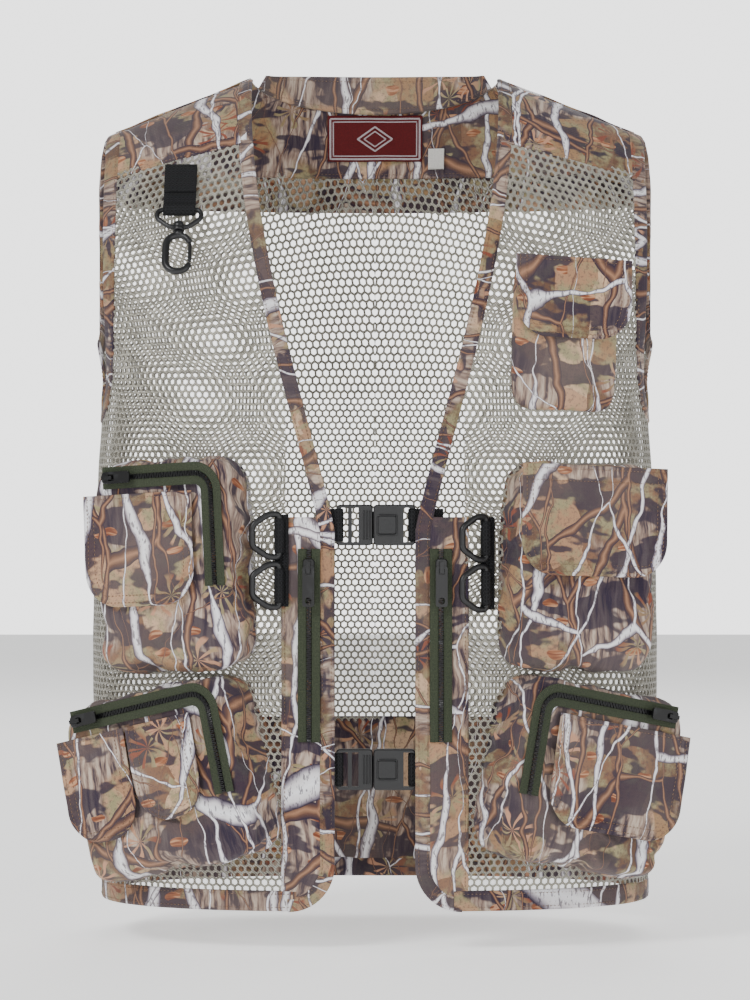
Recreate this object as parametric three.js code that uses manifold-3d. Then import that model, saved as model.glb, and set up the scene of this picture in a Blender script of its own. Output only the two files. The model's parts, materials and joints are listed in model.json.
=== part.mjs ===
// Fishing vest: mesh body with camouflage trim, five cargo pockets, D-rings, a snap hook and two
// release buckles. Millimetres, +Z up, the front faces -Y, and the origin is the centre of the hem.
import * as THREE from "three";
import { mergeVertices } from "three/addons/utils/BufferGeometryUtils.js";
import { ConvexGeometry } from "three/addons/geometries/ConvexGeometry.js";
import Module from "manifold-3d";

const wasm = await Module();
wasm.setup();

// Body of the vest
const HALF_WIDTH = 222; // body section, centre to side
const HALF_DEPTH = 125; // body section, centre to front or back
const SECTION_POWER = 2.6; // squareness of the body section
const HEM_TAPER = 0.035; // how much narrower the hem is than the waist
const CHEST_HEIGHT = 400; // above it the cloth curves over to the shoulders
const NECK_HEIGHT = 646; // shoulder crest at the neck
const NECK_HALF = 97; // half-width of the neck opening
const SHOULDER_HALF = 205; // shoulder crest, centre to tip
const SHOULDER_SLOPE = 0.4; // fall of the crest per mm towards the tip
const SHOULDER_ROOM = 31; // how far the chest section reaches past the shoulder tip
const BACK_FULLNESS = 0.8; // below 1 keeps the upper back fuller than the chest
const NECK_SCOOP = 0.37; // share of the shoulder curve cut away at the back of the neck

// Cloth and clearances
const CLOTH = 1.6; // one layer with its seams
const GAP = 0.3; // between touching pieces
const CURVE_GAP = 0.95; // the same gap where two curved edges meet
const ARMHOLE_GAP = 1.5; // the same gap at the bend of the armhole, where the facets differ most
const CREST_GAP = 0.001; // the same gap at the crest, as a share of the shoulder curve

// Zips
const TAPE_WIDE = 17;
const TAPE_THICK = 1;
const COIL_WIDE = 5;
const COIL_HIGH = 1.2; // above the tape
const ZIP_BEND = 14; // radius of an L-shaped zip's corner
const SLIDER = { long: 13, wide: 9, high: 3.2 };
const BRIDGE = { long: 9, wide: 3, high: 4, leg: 1.8, roof: 1.3 };
const PULL = { thick: 1.8, wide: 9, eye: 5.6, slack: 0.9 };
const POCKET_PULL = 19;
const PLACKET_PULL = 30;

// Flaps
const FLAP_THICK = 2.4;
const FLAP_CORNER = 24;

// Edges and bands
const EDGE_HALF = 31; // centre to front edge, below the V
const V_START = 290; // height where the V begins
const V_BEND = 1.1; // above 1 delays the opening of the V
const BINDING = 11; // front edge binding above the placket
const PLACKET_HALF = 71; // centre to outer side of the placket
const CORNER_RADIUS = 35; // bottom corner of each front
const HEM_TALL = 16;
const HEM_CLOTH = 2.6;
const ARMHOLE_BOTTOM = 377;
const ARMHOLE_RISE = 60; // height in which the armhole reaches its full width
const ARMHOLE_BACK_HALF = 218; // centre to armhole edge at the shoulder blade
const ARMHOLE_BINDING = 9;
const YOKE_SEAM = 590; // front yoke seam at its inner end
const YOKE_SEAM_SLOPE = 0.24;
const YOKE_BACK_BOTTOM = 550;
const LINING_BOTTOM = 578;
const BACK_BAND_TOP = 133;
const BACK_BAND_MIDDLE = 75;
const COLLAR_TALL = 30;
const COLLAR_END_TALL = 13;
const COLLAR_LEAN = 6;

const DEG = Math.PI / 180;
const vest = new THREE.Group();

// ---------------------------------------------------------------- materials
const finish = (color, roughness, metalness = 0) => ({ color, roughness, metalness });
const CAMO = finish(0xa9805f, 0.9);
const MESH = finish(0xbab5a8, 0.85);
const WEBBING = finish(0x17181a, 0.8);
const PLASTIC = finish(0x1b1c1e, 0.42);
const TAPE = finish(0x343a2c, 0.85);
const METAL = finish(0x202022, 0.35, 0.8);

function add(parent, name, geometry, look) {
  const mesh = new THREE.Mesh(geometry, new THREE.MeshStandardMaterial(look));
  mesh.name = name;
  parent.add(mesh);
  return mesh;
}

// ---------------------------------------------------------------- solids
function toSolid(geometry) {
  const bare = geometry.index ? geometry.toNonIndexed() : geometry.clone();
  bare.deleteAttribute("normal");
  bare.deleteAttribute("uv");
  const merged = mergeVertices(bare, 1e-4);
  return new wasm.Manifold(
    new wasm.Mesh({
      numProp: 3,
      vertProperties: new Float32Array(merged.attributes.position.array),
      triVerts: new Uint32Array(merged.index.array),
    }),
  );
}

function toGeometry(solid) {
  const mesh = solid.getMesh();
  const geometry = new THREE.BufferGeometry();
  geometry.setAttribute("position", new THREE.BufferAttribute(mesh.vertProperties, 3));
  geometry.setIndex(new THREE.BufferAttribute(mesh.triVerts, 1));
  return geometry;
}

function join(first, ...others) {
  return toGeometry(others.reduce((sum, g) => sum.add(toSolid(g)), toSolid(first)));
}

function cut(first, ...others) {
  return toGeometry(others.reduce((left, g) => left.subtract(toSolid(g)), toSolid(first)));
}

function box(x0, x1, y0, y1, z0, z1) {
  const geometry = new THREE.BoxGeometry(x1 - x0, y1 - y0, z1 - z0);
  return geometry.translate((x0 + x1) / 2, (y0 + y1) / 2, (z0 + z1) / 2);
}

// An outline in the x-z plane given a thickness from y0 towards -y.
function plate(shape, y0, thickness, bevel = 0) {
  const geometry = new THREE.ExtrudeGeometry(shape, {
    depth: thickness - bevel,
    bevelEnabled: bevel > 0,
    bevelThickness: bevel,
    bevelSize: bevel,
    bevelOffset: -bevel,
    bevelSegments: bevel > 1 ? 2 : 1,
    curveSegments: thickness > 5 ? 4 : 3,
  });
  return geometry.rotateX(Math.PI / 2).translate(0, y0, 0);
}

function roundRect(x0, x1, z0, z1, radius, topRadius = radius) {
  const shape = new THREE.Shape();
  shape.moveTo(x0 + radius, z0);
  shape.lineTo(x1 - radius, z0);
  shape.absarc(x1 - radius, z0 + radius, radius, -Math.PI / 2, 0);
  shape.lineTo(x1, z1 - topRadius);
  shape.absarc(x1 - topRadius, z1 - topRadius, topRadius, 0, Math.PI / 2);
  shape.lineTo(x0 + topRadius, z1);
  shape.absarc(x0 + topRadius, z1 - topRadius, topRadius, Math.PI / 2, Math.PI);
  shape.lineTo(x0, z0 + radius);
  shape.absarc(x0 + radius, z0 + radius, radius, Math.PI, Math.PI * 1.5);
  return shape;
}

// A closed solid of cloth: point(s, t) is its sheet over two lists of parameters, and the cloth
// lies between two offsets along the sheet's normal. With loop, the last column joins the first.
function cloth(point, columns, rows, inner, outer, loop = false) {
  const step = 1e-4;
  const offsetPoint = (s, t, offset) => {
    const across = point(s + step, t).sub(point(s - step, t));
    const up = point(s, t + step).sub(point(s, t - step));
    return point(s, t).addScaledVector(across.cross(up).normalize(), offset);
  };
  const used = loop ? columns.slice(0, -1) : columns;
  const wide = used.length;
  const vertices = [];
  for (const offset of [outer, inner])
    for (const t of rows) for (const s of used) vertices.push(...offsetPoint(s, t, offset));
  const at = (layer, row, column) => (layer * rows.length + row) * wide + (column % wide);
  const index = [];
  const quad = (a, b, c, d) => index.push(a, b, c, a, c, d);
  const cells = loop ? wide : wide - 1;
  const last = rows.length - 1;
  for (let i = 0; i < cells; i++) {
    for (let j = 0; j < last; j++) {
      quad(at(0, j, i), at(0, j, i + 1), at(0, j + 1, i + 1), at(0, j + 1, i));
      quad(at(1, j, i), at(1, j + 1, i), at(1, j + 1, i + 1), at(1, j, i + 1));
    }
    quad(at(1, 0, i), at(1, 0, i + 1), at(0, 0, i + 1), at(0, 0, i));
    quad(at(0, last, i), at(0, last, i + 1), at(1, last, i + 1), at(1, last, i));
  }
  for (let j = 0; j < last && !loop; j++) {
    quad(at(1, j, 0), at(0, j, 0), at(0, j + 1, 0), at(1, j + 1, 0));
    quad(at(0, j, cells), at(1, j, cells), at(1, j + 1, cells), at(0, j + 1, cells));
  }
  const geometry = new THREE.BufferGeometry();
  geometry.setAttribute("position", new THREE.Float32BufferAttribute(vertices, 3));
  geometry.setIndex(index);
  return geometry;
}

const span = (from, to, steps) =>
  Array.from({ length: steps + 1 }, (_, i) => from + ((to - from) * i) / steps);

// ---------------------------------------------------------------- body surface
// A place on the body is a turn from the front centre, in radians towards +X, and a rise: -1 is the
// hem, 0 the chest height and 1 the shoulder crest.
function halfWidthAt(rise) {
  if (rise < 0) return HALF_WIDTH * (1 - HEM_TAPER + HEM_TAPER * Math.sin(Math.PI * (1 + rise)));
  const blend = Math.min(1, rise / 0.4);
  const chest = HALF_WIDTH * (1 - HEM_TAPER);
  return chest + (SHOULDER_HALF + SHOULDER_ROOM - chest) * blend * blend * (3 - 2 * blend);
}

const crestAt = (x) => NECK_HEIGHT - (Math.abs(x) - NECK_HALF) * SHOULDER_SLOPE;

function riseAt(x, z) {
  if (z <= CHEST_HEIGHT) return z / CHEST_HEIGHT - 1;
  return Math.asin(Math.min(1, (z - CHEST_HEIGHT) / (crestAt(x) - CHEST_HEIGHT))) / (Math.PI / 2);
}

// The turn at which the front of the body passes x.
function turnAt(x, rise) {
  const ratio = Math.abs(x) / halfWidthAt(rise);
  if (ratio >= 1) return (Math.sign(x) * Math.PI) / 2;
  return Math.sign(x) * Math.atan2(ratio, Math.pow(1 - Math.pow(ratio, SECTION_POWER), 1 / SECTION_POWER));
}

function bodyPoint(turn, rise) {
  const side = Math.sin(turn);
  const front = Math.cos(turn);
  const spread = Math.pow(
    Math.pow(Math.abs(side), SECTION_POWER) + Math.pow(Math.abs(front), SECTION_POWER),
    -1 / SECTION_POWER,
  );
  const x = halfWidthAt(rise) * side * spread;
  const lean = Math.cos((Math.max(0, rise) * Math.PI) / 2);
  const depth = HALF_DEPTH * (front > 0 ? lean : Math.sign(lean) * Math.pow(Math.abs(lean), BACK_FULLNESS));
  const high = CHEST_HEIGHT + (crestAt(x) - CHEST_HEIGHT) * Math.sin((rise * Math.PI) / 2);
  return new THREE.Vector3(x, -depth * front * spread, rise < 0 ? CHEST_HEIGHT * (1 + rise) : high);
}

const frontPoint = (x, z) => {
  const rise = riseAt(x, z);
  return bodyPoint(turnAt(x, rise), rise);
};

// ---------------------------------------------------------------- outlines of the fronts
// Front edge: straight up the placket, then opening as a quarter sine to the neck.
function edgeAt(z) {
  if (z < CORNER_RADIUS) {
    const below = Math.min(CORNER_RADIUS, CORNER_RADIUS - z);
    return EDGE_HALF + CORNER_RADIUS - Math.sqrt(CORNER_RADIUS ** 2 - below ** 2);
  }
  const share = Math.max(0, (z - V_START) / (NECK_HEIGHT - V_START));
  return EDGE_HALF + (NECK_HALF - EDGE_HALF) * Math.sin((Math.PI / 2) * Math.pow(Math.min(1, share), V_BEND));
}

const placketAt = (z) => (z < V_START ? PLACKET_HALF : Math.max(PLACKET_HALF, edgeAt(z) + BINDING));
const yokeSeamAt = (x) => YOKE_SEAM - (Math.abs(x) - NECK_HALF) * YOKE_SEAM_SLOPE;

// Armhole edge: a quarter circle from the side seam in to the given half-width, which it keeps.
function armholeTurn(z, rise, half) {
  if (z <= ARMHOLE_BOTTOM) return Math.PI / 2;
  const share = Math.min(1, (z - ARMHOLE_BOTTOM) / ARMHOLE_RISE);
  const reach = Math.sqrt(1 - (1 - share) ** 2);
  return turnAt(halfWidthAt(rise) * (1 - reach) + half * reach, rise);
}

const backHalf = (rise) => ARMHOLE_BACK_HALF + (SHOULDER_HALF - ARMHOLE_BACK_HALF) * Math.max(0, rise) ** 4;
const heightOf = (x, rise) => {
  if (rise < 0) return CHEST_HEIGHT * (1 + rise);
  return CHEST_HEIGHT + (crestAt(x) - CHEST_HEIGHT) * Math.sin((rise * Math.PI) / 2);
};
const heightAt = (rise) => heightOf(SHOULDER_HALF, rise);
const frontArmhole = (rise) => armholeTurn(heightAt(rise), rise, SHOULDER_HALF);
const backArmhole = (rise) => Math.PI - armholeTurn(heightAt(rise), rise, backHalf(rise));

const mix = (a, b, share) => a + (b - a) * share;

// ---------------------------------------------------------------- front panels
const ARMHOLE_STEPS = 5;
const ARMHOLE_ROWS = [
  ...span(0, Math.PI / 2, ARMHOLE_STEPS).map(
    (angle) => ARMHOLE_BOTTOM + ARMHOLE_RISE * (1 - Math.cos(angle)),
  ),
  480,
  530,
];
const FRONT_ROWS = [HEM_TALL + GAP, 36, 110, 210, 290, 320, 350, ...ARMHOLE_ROWS];
const FRONT_COLUMNS = 6;
const TOP_RISE = 1 - CREST_GAP;

// The mesh is spread by turn up to the armhole's full width, and by x above it, as the yoke is.
function frontTurn(share, z, rise) {
  const inner = placketAt(z) + GAP;
  if (z >= ARMHOLE_BOTTOM + ARMHOLE_RISE) return turnAt(mix(inner, SHOULDER_HALF, share), rise);
  return mix(turnAt(inner, rise), frontArmhole(rise), share);
}

function makeFrontMesh(name, sign) {
  const count = FRONT_ROWS.length;
  const point = (s, t) => {
    const share = sign > 0 ? s : 1 - s;
    const row = Math.min(count - 1, Math.max(0, Math.floor(t)));
    let x = mix(PLACKET_HALF, SHOULDER_HALF, share);
    let rise = 0;
    let turn = 0;
    for (let pass = 0; pass < 8; pass++) {
      const next = row + 1 < count ? FRONT_ROWS[row + 1] : yokeSeamAt(x) - GAP;
      const z = mix(FRONT_ROWS[row], next, t - row);
      rise = riseAt(x, z);
      turn = frontTurn(share, z, rise);
      x = bodyPoint(turn, rise).x;
    }
    return bodyPoint(sign * turn, rise);
  };
  add(vest, name, cloth(point, span(0, 1, FRONT_COLUMNS), span(0, count, count), 0, CLOTH), MESH);
}

// Where an edge, given as x over the height, passes a rise.
function edgeX(edge, rise) {
  let x = edge(CHEST_HEIGHT);
  for (let pass = 0; pass < 8; pass++) x = edge(heightOf(x, rise));
  return x;
}

const SEAM_X = placketAt(YOKE_SEAM) + GAP;
const SEAM_RISE = riseAt(SEAM_X, yokeSeamAt(SEAM_X));
const YOKE_STEPS = 4;

function makeFrontYoke(name, sign) {
  const point = (s, t) => {
    const share = sign > 0 ? s : 1 - s;
    const seamX = mix(SEAM_X, SHOULDER_HALF, share);
    const rise = mix(riseAt(seamX, yokeSeamAt(seamX)), TOP_RISE, t);
    return bodyPoint(sign * turnAt(mix(edgeX(placketAt, rise) + GAP, SHOULDER_HALF, share), rise), rise);
  };
  add(vest, name, cloth(point, span(0, 1, FRONT_COLUMNS), span(0, 1, YOKE_STEPS), 0, CLOTH), CAMO);
}

function makePlacket(name, sign) {
  const corner = [0, 4, 12, 24].map((z) => riseAt(0, z));
  const rises = [
    ...corner,
    ...FRONT_ROWS.slice(1).map((z) => riseAt(placketAt(z) + GAP, z)),
    ...span(SEAM_RISE, TOP_RISE, YOKE_STEPS),
  ];
  const point = (s, t) => {
    const row = Math.min(rises.length - 2, Math.max(0, Math.floor(t)));
    const rise = mix(rises[row], rises[row + 1], t - row);
    const x = mix(edgeX(edgeAt, rise), edgeX(placketAt, rise), sign > 0 ? s : 1 - s);
    return bodyPoint(sign * turnAt(x, rise), rise);
  };
  add(vest, name, cloth(point, span(0, 1, 2), span(0, rises.length - 1, rises.length - 1), 0, CLOTH), CAMO);
}

for (const [side, sign] of [["right", -1], ["left", 1]]) {
  makeFrontMesh(`front_mesh_${side}`, sign);
  makeFrontYoke(`front_yoke_${side}`, sign);
  makePlacket(`placket_${side}`, sign);
}

// ---------------------------------------------------------------- back panels
const NECK_SHARE = NECK_HALF / SHOULDER_HALF;
const NECK_COLUMNS = [-1, -0.9, -0.7, -0.4, 0, 0.4, 0.7, 0.9, 1].map((s) => s * NECK_SHARE);
const BACK_COLUMNS = [
  ...span(-1, -NECK_SHARE, 4).slice(0, -1),
  ...NECK_COLUMNS,
  ...span(NECK_SHARE, 1, 4).slice(1),
];
const backRise = (z) => riseAt(0, z);
const backTurn = (s, rise) => Math.PI + turnAt(s * backHalf(rise), rise);

// Share s runs from -1 at one side to 1 at the other, seen from the front.
function makeBackMesh() {
  const full = riseAt(SHOULDER_HALF, ARMHOLE_BOTTOM + ARMHOLE_RISE);
  const rises = [
    ...[BACK_BAND_TOP + GAP, 250, 330].map(backRise),
    ...ARMHOLE_ROWS.slice(0, -1).map((z) => riseAt(SHOULDER_HALF, z)),
    ...[YOKE_BACK_BOTTOM, LINING_BOTTOM - GAP].map(backRise),
  ];
  const point = (s, t) => {
    const row = Math.min(rises.length - 2, Math.max(0, Math.floor(t)));
    const rise = mix(rises[row], rises[row + 1], t - row);
    if (rise >= full) return bodyPoint(backTurn(s, rise), rise);
    const edge = backArmhole(rise) + GAP / HALF_WIDTH;
    return bodyPoint(Math.PI + s * (edge - Math.PI) * -1, rise);
  };
  const steps = span(0, rises.length - 1, rises.length - 1);
  add(vest, "back_mesh", cloth(point, BACK_COLUMNS, steps, 0, CLOTH), MESH);
}

function makeBackBand() {
  const edge = Math.PI / 2 - GAP / HALF_WIDTH;
  const point = (s, t) => bodyPoint(Math.PI + s * edge, backRise(t));
  const heights = [HEM_TALL + GAP, BACK_BAND_MIDDLE, BACK_BAND_TOP];
  add(vest, "back_lower_panel", cloth(point, BACK_COLUMNS, heights, 0, CLOTH), CAMO);
}

// A yoke layer over the shoulder blades: step 0 is its bottom, 1 the lining's bottom, 5 the crest
// and the edge of the neck.
const YOKE_LAST = 1 + YOKE_STEPS;

function backYokePoint(s, t) {
  const low = backRise(YOKE_BACK_BOTTOM);
  const seam = backRise(LINING_BOTTOM);
  const scoop = Math.abs(s) < NECK_SHARE ? NECK_SCOOP * Math.sqrt(1 - (s / NECK_SHARE) ** 2) : 0;
  const rise = t < 1 ? mix(low, seam, t) : mix(seam, TOP_RISE - scoop, (t - 1) / YOKE_STEPS);
  return bodyPoint(backTurn(s, rise), rise);
}

function makeBackYoke(name, from, inner, outer) {
  const rows = span(from, YOKE_LAST, YOKE_LAST - from);
  add(vest, name, cloth(backYokePoint, BACK_COLUMNS, rows, inner, outer), CAMO);
}

makeBackMesh();
makeBackBand();
makeBackYoke("back_yoke_lining", 1, 0, CLOTH);
makeBackYoke("back_yoke", 0, CLOTH + GAP, 2 * CLOTH + GAP);

// ---------------------------------------------------------------- bindings and collar
function makeHem() {
  const from = turnAt(PLACKET_HALF + GAP, -1);
  const point = (s, t) => bodyPoint(s, backRise(t));
  const columns = span(from, 2 * Math.PI - from, 36);
  const layers = [(CLOTH - HEM_CLOTH) / 2, (CLOTH + HEM_CLOTH) / 2];
  add(vest, "hem_binding", cloth(point, columns, [0, HEM_TALL], ...layers), CAMO);
}

// The armhole edge as a closed line: up the front, over the tip and down the back.
function armholeLine(sign) {
  const line = [];
  const rises = ARMHOLE_ROWS.map((z) => riseAt(SHOULDER_HALF, z));
  const seam = riseAt(SHOULDER_HALF, yokeSeamAt(SHOULDER_HALF));
  const over = span(seam, 1, YOKE_STEPS);
  for (const rise of [...rises, ...over]) line.push(bodyPoint(sign * frontArmhole(rise), rise));
  const overYoke = span(backRise(LINING_BOTTOM), 1, YOKE_STEPS);
  const back = [backRise(YOKE_BACK_BOTTOM), ...overYoke];
  const down = [...rises.slice(1, -1), ...back.slice(0, -1)].reverse();
  for (const rise of down) line.push(bodyPoint(sign * backArmhole(rise), rise));
  return line;
}

function makeArmholeBinding(name, sign) {
  const line = armholeLine(sign);
  const count = line.length;
  const centre = line.reduce((sum, p) => sum.add(p), new THREE.Vector3()).divideScalar(count);
  const on = (k) => line[((k % count) + count) % count];
  const inward = line.map((p, k) => {
    const along = on(k + 1).clone().sub(on(k - 1)).normalize();
    const toCentre = centre.clone().sub(p);
    return toCentre.addScaledVector(along, -toCentre.dot(along)).setX(toCentre.x * 0.2).normalize();
  });
  const point = (s, t) => {
    const k = Math.floor(s);
    const spot = on(k).clone().lerp(on(k + 1), s - k);
    const wayAt = (i) => inward[((i % count) + count) % count];
    const way = wayAt(k).clone().lerp(wayAt(k + 1), s - k);
    return spot.addScaledVector(way, sign > 0 ? t : ARMHOLE_BINDING + 2 * ARMHOLE_GAP - t);
  };
  const steps = span(0, count, count);
  const tall = [ARMHOLE_GAP, ARMHOLE_GAP + ARMHOLE_BINDING];
  add(vest, name, cloth(point, steps, tall, -CLOTH / 4, CLOTH * 1.25, true), CAMO);
}

function makeCollar() {
  const seat = CLOTH + CURVE_GAP + 3 * GAP;
  const point = (s, t) => {
    const base = backYokePoint(s, YOKE_LAST);
    const inwards = new THREE.Vector3(-base.x, HALF_DEPTH / 6 - base.y, 0).normalize();
    const tall = mix(COLLAR_TALL, COLLAR_END_TALL, (s / NECK_SHARE) ** 2);
    return base.addScaledVector(inwards, seat + COLLAR_LEAN * t).add(new THREE.Vector3(0, 0, tall * t));
  };
  add(vest, "collar", cloth(point, NECK_COLUMNS, [0, 1], -CLOTH * 0.7, CLOTH * 0.7), CAMO);
}

makeHem();
makeArmholeBinding("armhole_binding_right", -1);
makeArmholeBinding("armhole_binding_left", 1);
makeCollar();

// ---------------------------------------------------------------- places on the front
// A flat place on the front whose x runs along the chord between two points of the body, whose -y
// looks outwards and which is rolled about y. The seat is the cloth's outer face.
function frontFrame(x0, x1, z, roll) {
  const a = frontPoint(x0, z);
  const b = frontPoint(x1, z);
  const frame = new THREE.Group();
  frame.position.copy(a).add(b).multiplyScalar(0.5);
  frame.rotation.set(0, roll, Math.atan2(b.y - a.y, b.x - a.x), "ZYX");
  frame.updateMatrixWorld(true);
  frame.chord = a.distanceTo(b);
  vest.add(frame);
  return frame;
}

// What a pocket must stay clear of: the body, which is convex, out to just past the fronts' cloth.
function clearBody() {
  const points = [];
  const out = CLOTH + GAP;
  for (const rise of span(-1.05, 0.75, 22))
    for (const turn of span(-Math.PI * 0.6, Math.PI * 0.6, 54)) {
      const p = bodyPoint(turn, rise);
      const across = bodyPoint(turn + 1e-4, rise).sub(p);
      const up = bodyPoint(turn, rise + 1e-4).sub(p);
      points.push(p.addScaledVector(across.cross(up).normalize(), out));
    }
  return toSolid(new ConvexGeometry(points));
}

// ---------------------------------------------------------------- zips
// An L-shaped band: along u at the top, round a bend and down. The side mirrors u.
function bendBand(side, u0, u1, top, end, wide) {
  const half = wide / 2;
  const arc = (radius, from, to) =>
    span(from, to, 4).map((angle) => [
      u1 - ZIP_BEND + radius * Math.cos(angle),
      top - ZIP_BEND + radius * Math.sin(angle),
    ]);
  const points = [
    [u0, top - half],
    ...arc(ZIP_BEND - half, Math.PI / 2, 0),
    [u1 - half, end],
    [u1 + half, end],
    ...arc(ZIP_BEND + half, 0, Math.PI / 2),
    [u0, top + half],
  ];
  return new THREE.Shape(points.map(([u, z]) => new THREE.Vector2(side * u, z)));
}

// Slider whose local +X is its way along the zip, with its base at y 0, and its pull on the bridge.
function makeSlider(parent, name, x, y, z, turn, pullLength) {
  const place = new THREE.Group();
  place.position.set(x, y, z);
  place.rotation.y = turn;
  parent.add(place);
  const { long, wide, high } = SLIDER;
  const outline = roundRect(-long / 2, long / 2, -wide / 2, wide / 2, 2.5);
  const top = -high - BRIDGE.high;
  const reach = BRIDGE.long / 2;
  const arch = cut(
    box(-reach, reach, top, -high + 0.5, -BRIDGE.wide / 2, BRIDGE.wide / 2),
    box(BRIDGE.leg - reach, reach - BRIDGE.leg, top + BRIDGE.roof, -high, -BRIDGE.wide, BRIDGE.wide),
  );
  add(place, `${name}_slider`, join(plate(outline, -0.6, high - 0.6, 0.6), arch), METAL);

  const barHalf = PULL.thick / 2;
  const barY = -high - (BRIDGE.high - BRIDGE.roof) / 2 - 0.1;
  const half = PULL.wide / 2;
  const eyeHalf = BRIDGE.wide / 2 + PULL.slack;
  const tab = roundRect(-barHalf, pullLength, -half, half, 2, 2);
  tab.holes.push(roundRect(barHalf, PULL.eye, -eyeHalf, eyeHalf, 0.4));
  if (pullLength === PLACKET_PULL) tab.holes.push(roundRect(pullLength - 7, pullLength - 2, -2.4, 2.4, 2.2));
  const pull = add(place, `${name}_pull`, plate(tab, barHalf, PULL.thick), METAL);
  pull.position.y = barY;
}

// ---------------------------------------------------------------- pockets
// inner and outer are where the pocket's back meets the body; flaps give their inner and outer
// ends, counted from the pocket's inner edge, their height and how far below the top they hang.
const POCKETS = [
  {
    name: "mid_pocket_right", sign: -1, inner: 92, outer: 203, z: 264, tall: 160, depth: 34, roll: -3,
    zip: { outerEnd: 22, top: 12, innerEdge: 16, end: 62 },
    flaps: [{ name: "mid_flap_right", from: 32, to: 126, tall: 86, drop: 25 }],
  },
  {
    name: "lower_pocket_right", sign: -1, inner: 79, outer: 213, z: 100, tall: 138, depth: 46, roll: -13,
    zip: { outerEnd: 22, top: 12, innerEdge: 16, end: 48 },
    flaps: [
      { name: "lower_flap_right_inner", from: 33, to: 92, tall: 76, drop: 25 },
      { name: "lower_flap_right_outer", from: 94, to: 156, tall: 82, drop: 25 },
    ],
  },
  {
    name: "chest_pocket_left", sign: 1, inner: 104, outer: 184, z: 440, tall: 118, depth: 9, roll: 2,
    flaps: [{ name: "chest_flap_left", from: -3, to: 95, tall: 62, drop: 0 }],
  },
  {
    name: "mid_pocket_left", sign: 1, inner: 95, outer: 203, z: 263, tall: 156, depth: 34, roll: 2,
    flaps: [{ name: "mid_flap_left", from: -2, to: 124, tall: 84, drop: 2 }],
  },
  {
    name: "lower_pocket_left", sign: 1, inner: 81, outer: 213, z: 101, tall: 138, depth: 46, roll: 11,
    zip: { outerEnd: 22, top: 12, innerEdge: 16, end: 48 },
    flaps: [{ name: "lower_flap_left", from: 32, to: 152, tall: 84, drop: 25 }],
  },
];
const POCKET_CORNER = 20;
const ZIP_START = 8; // length of tape beyond a closed slider
const POCKET_EDGE = 8; // rounding of a full pocket's front edges
const FLAT_EDGE = 3; // rounding of a flat pocket's front edges
const FLAT_DEPTH = 12; // a pocket shallower than this counts as flat
const POCKET_SINK = 60; // how far a pocket is drawn into the body before it is cut to it

function makePocket(spec) {
  const { sign, depth, tall } = spec;
  const ends = sign > 0 ? [spec.inner, spec.outer] : [-spec.outer, -spec.inner];
  const frame = frontFrame(...ends, spec.z, spec.roll * DEG);
  const half = frame.chord / 2;
  const edge = depth < FLAT_DEPTH ? FLAT_EDGE : POCKET_EDGE;
  const outline = roundRect(-half, half, -tall / 2, tall / 2, POCKET_CORNER);
  const block = plate(outline, POCKET_SINK, POCKET_SINK + depth, edge);
  const trimmed = toSolid(block.applyMatrix4(frame.matrixWorld)).subtract(CLEAR);
  add(vest, spec.name, toGeometry(trimmed), CAMO);

  const face = -depth - GAP;
  const side = -sign; // local x times side grows from the pocket's outer edge to its inner edge
  if (spec.zip) {
    const { outerEnd, top, innerEdge, end } = spec.zip;
    const line = tall / 2 - top;
    const run = [side, outerEnd - half - ZIP_START, half - innerEdge, line, end - tall / 2];
    const tape = plate(bendBand(...run, TAPE_WIDE), face, TAPE_THICK);
    const coil = plate(bendBand(...run, COIL_WIDE), face, TAPE_THICK + COIL_HIGH);
    add(frame, `${spec.name}_zip_tape`, join(tape, coil), TAPE);
    const seat = face - TAPE_THICK - COIL_HIGH - GAP;
    const turn = side > 0 ? 0 : Math.PI;
    makeSlider(frame, `${spec.name}_zip`, side * (outerEnd - half), seat, line, turn, POCKET_PULL);
  }
  for (const flap of spec.flaps) {
    const wide = flap.to - flap.from;
    const shape = roundRect(-wide / 2, wide / 2, -flap.tall, 0, FLAP_CORNER, 2);
    const mesh = add(frame, flap.name, plate(shape, FLAP_THICK, FLAP_THICK), CAMO);
    mesh.position.set(side * (half - (flap.from + flap.to) / 2), face - FLAP_THICK, tall / 2 - flap.drop);
  }
}

const CLEAR = clearBody();
POCKETS.forEach(makePocket);

// ---------------------------------------------------------------- placket zips
const PLACKET_ZIP = { x: 50, bottom: 129, top: 276, sliderDrop: 14 };

function makePlacketZip(name, sign) {
  const { x, bottom, top, sliderDrop } = PLACKET_ZIP;
  const middle = (bottom + top) / 2;
  const reach = TAPE_WIDE / 2;
  const ends = sign > 0 ? [x - reach, x + reach] : [-x - reach, reach - x];
  const frame = frontFrame(...ends, middle, 0);
  const seat = -CLOTH - CURVE_GAP;
  const half = (top - bottom) / 2;
  const tape = box(-reach, reach, seat - TAPE_THICK, seat, -half, half);
  const coil = box(-COIL_WIDE / 2, COIL_WIDE / 2, seat - TAPE_THICK - COIL_HIGH, seat, -half, half);
  add(frame, `${name}_tape`, join(tape, coil), TAPE);
  const face = seat - TAPE_THICK - COIL_HIGH - GAP;
  makeSlider(frame, name, 0, face, half - sliderDrop, Math.PI / 2, PLACKET_PULL);
}

makePlacketZip("placket_zip_right", -1);
makePlacketZip("placket_zip_left", 1);

// ---------------------------------------------------------------- D-rings
// shoulder: share of the depth at which the sides start to slope, over the last slopes mm of each side
const RING = { tall: 36, deep: 23, bar: 3.4, thick: 3.4, slopes: 9, shoulder: 0.45 };
const RING_SLEEVE = { tall: 26, wide: 7.6, room: 0.5, tail: 3, strap: 1.8, margin: 3 };
const RING_PITCH = 38; // between two stacked rings
const RING_TILT = 24 * DEG; // how far a ring stands off the cloth at rest

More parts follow.
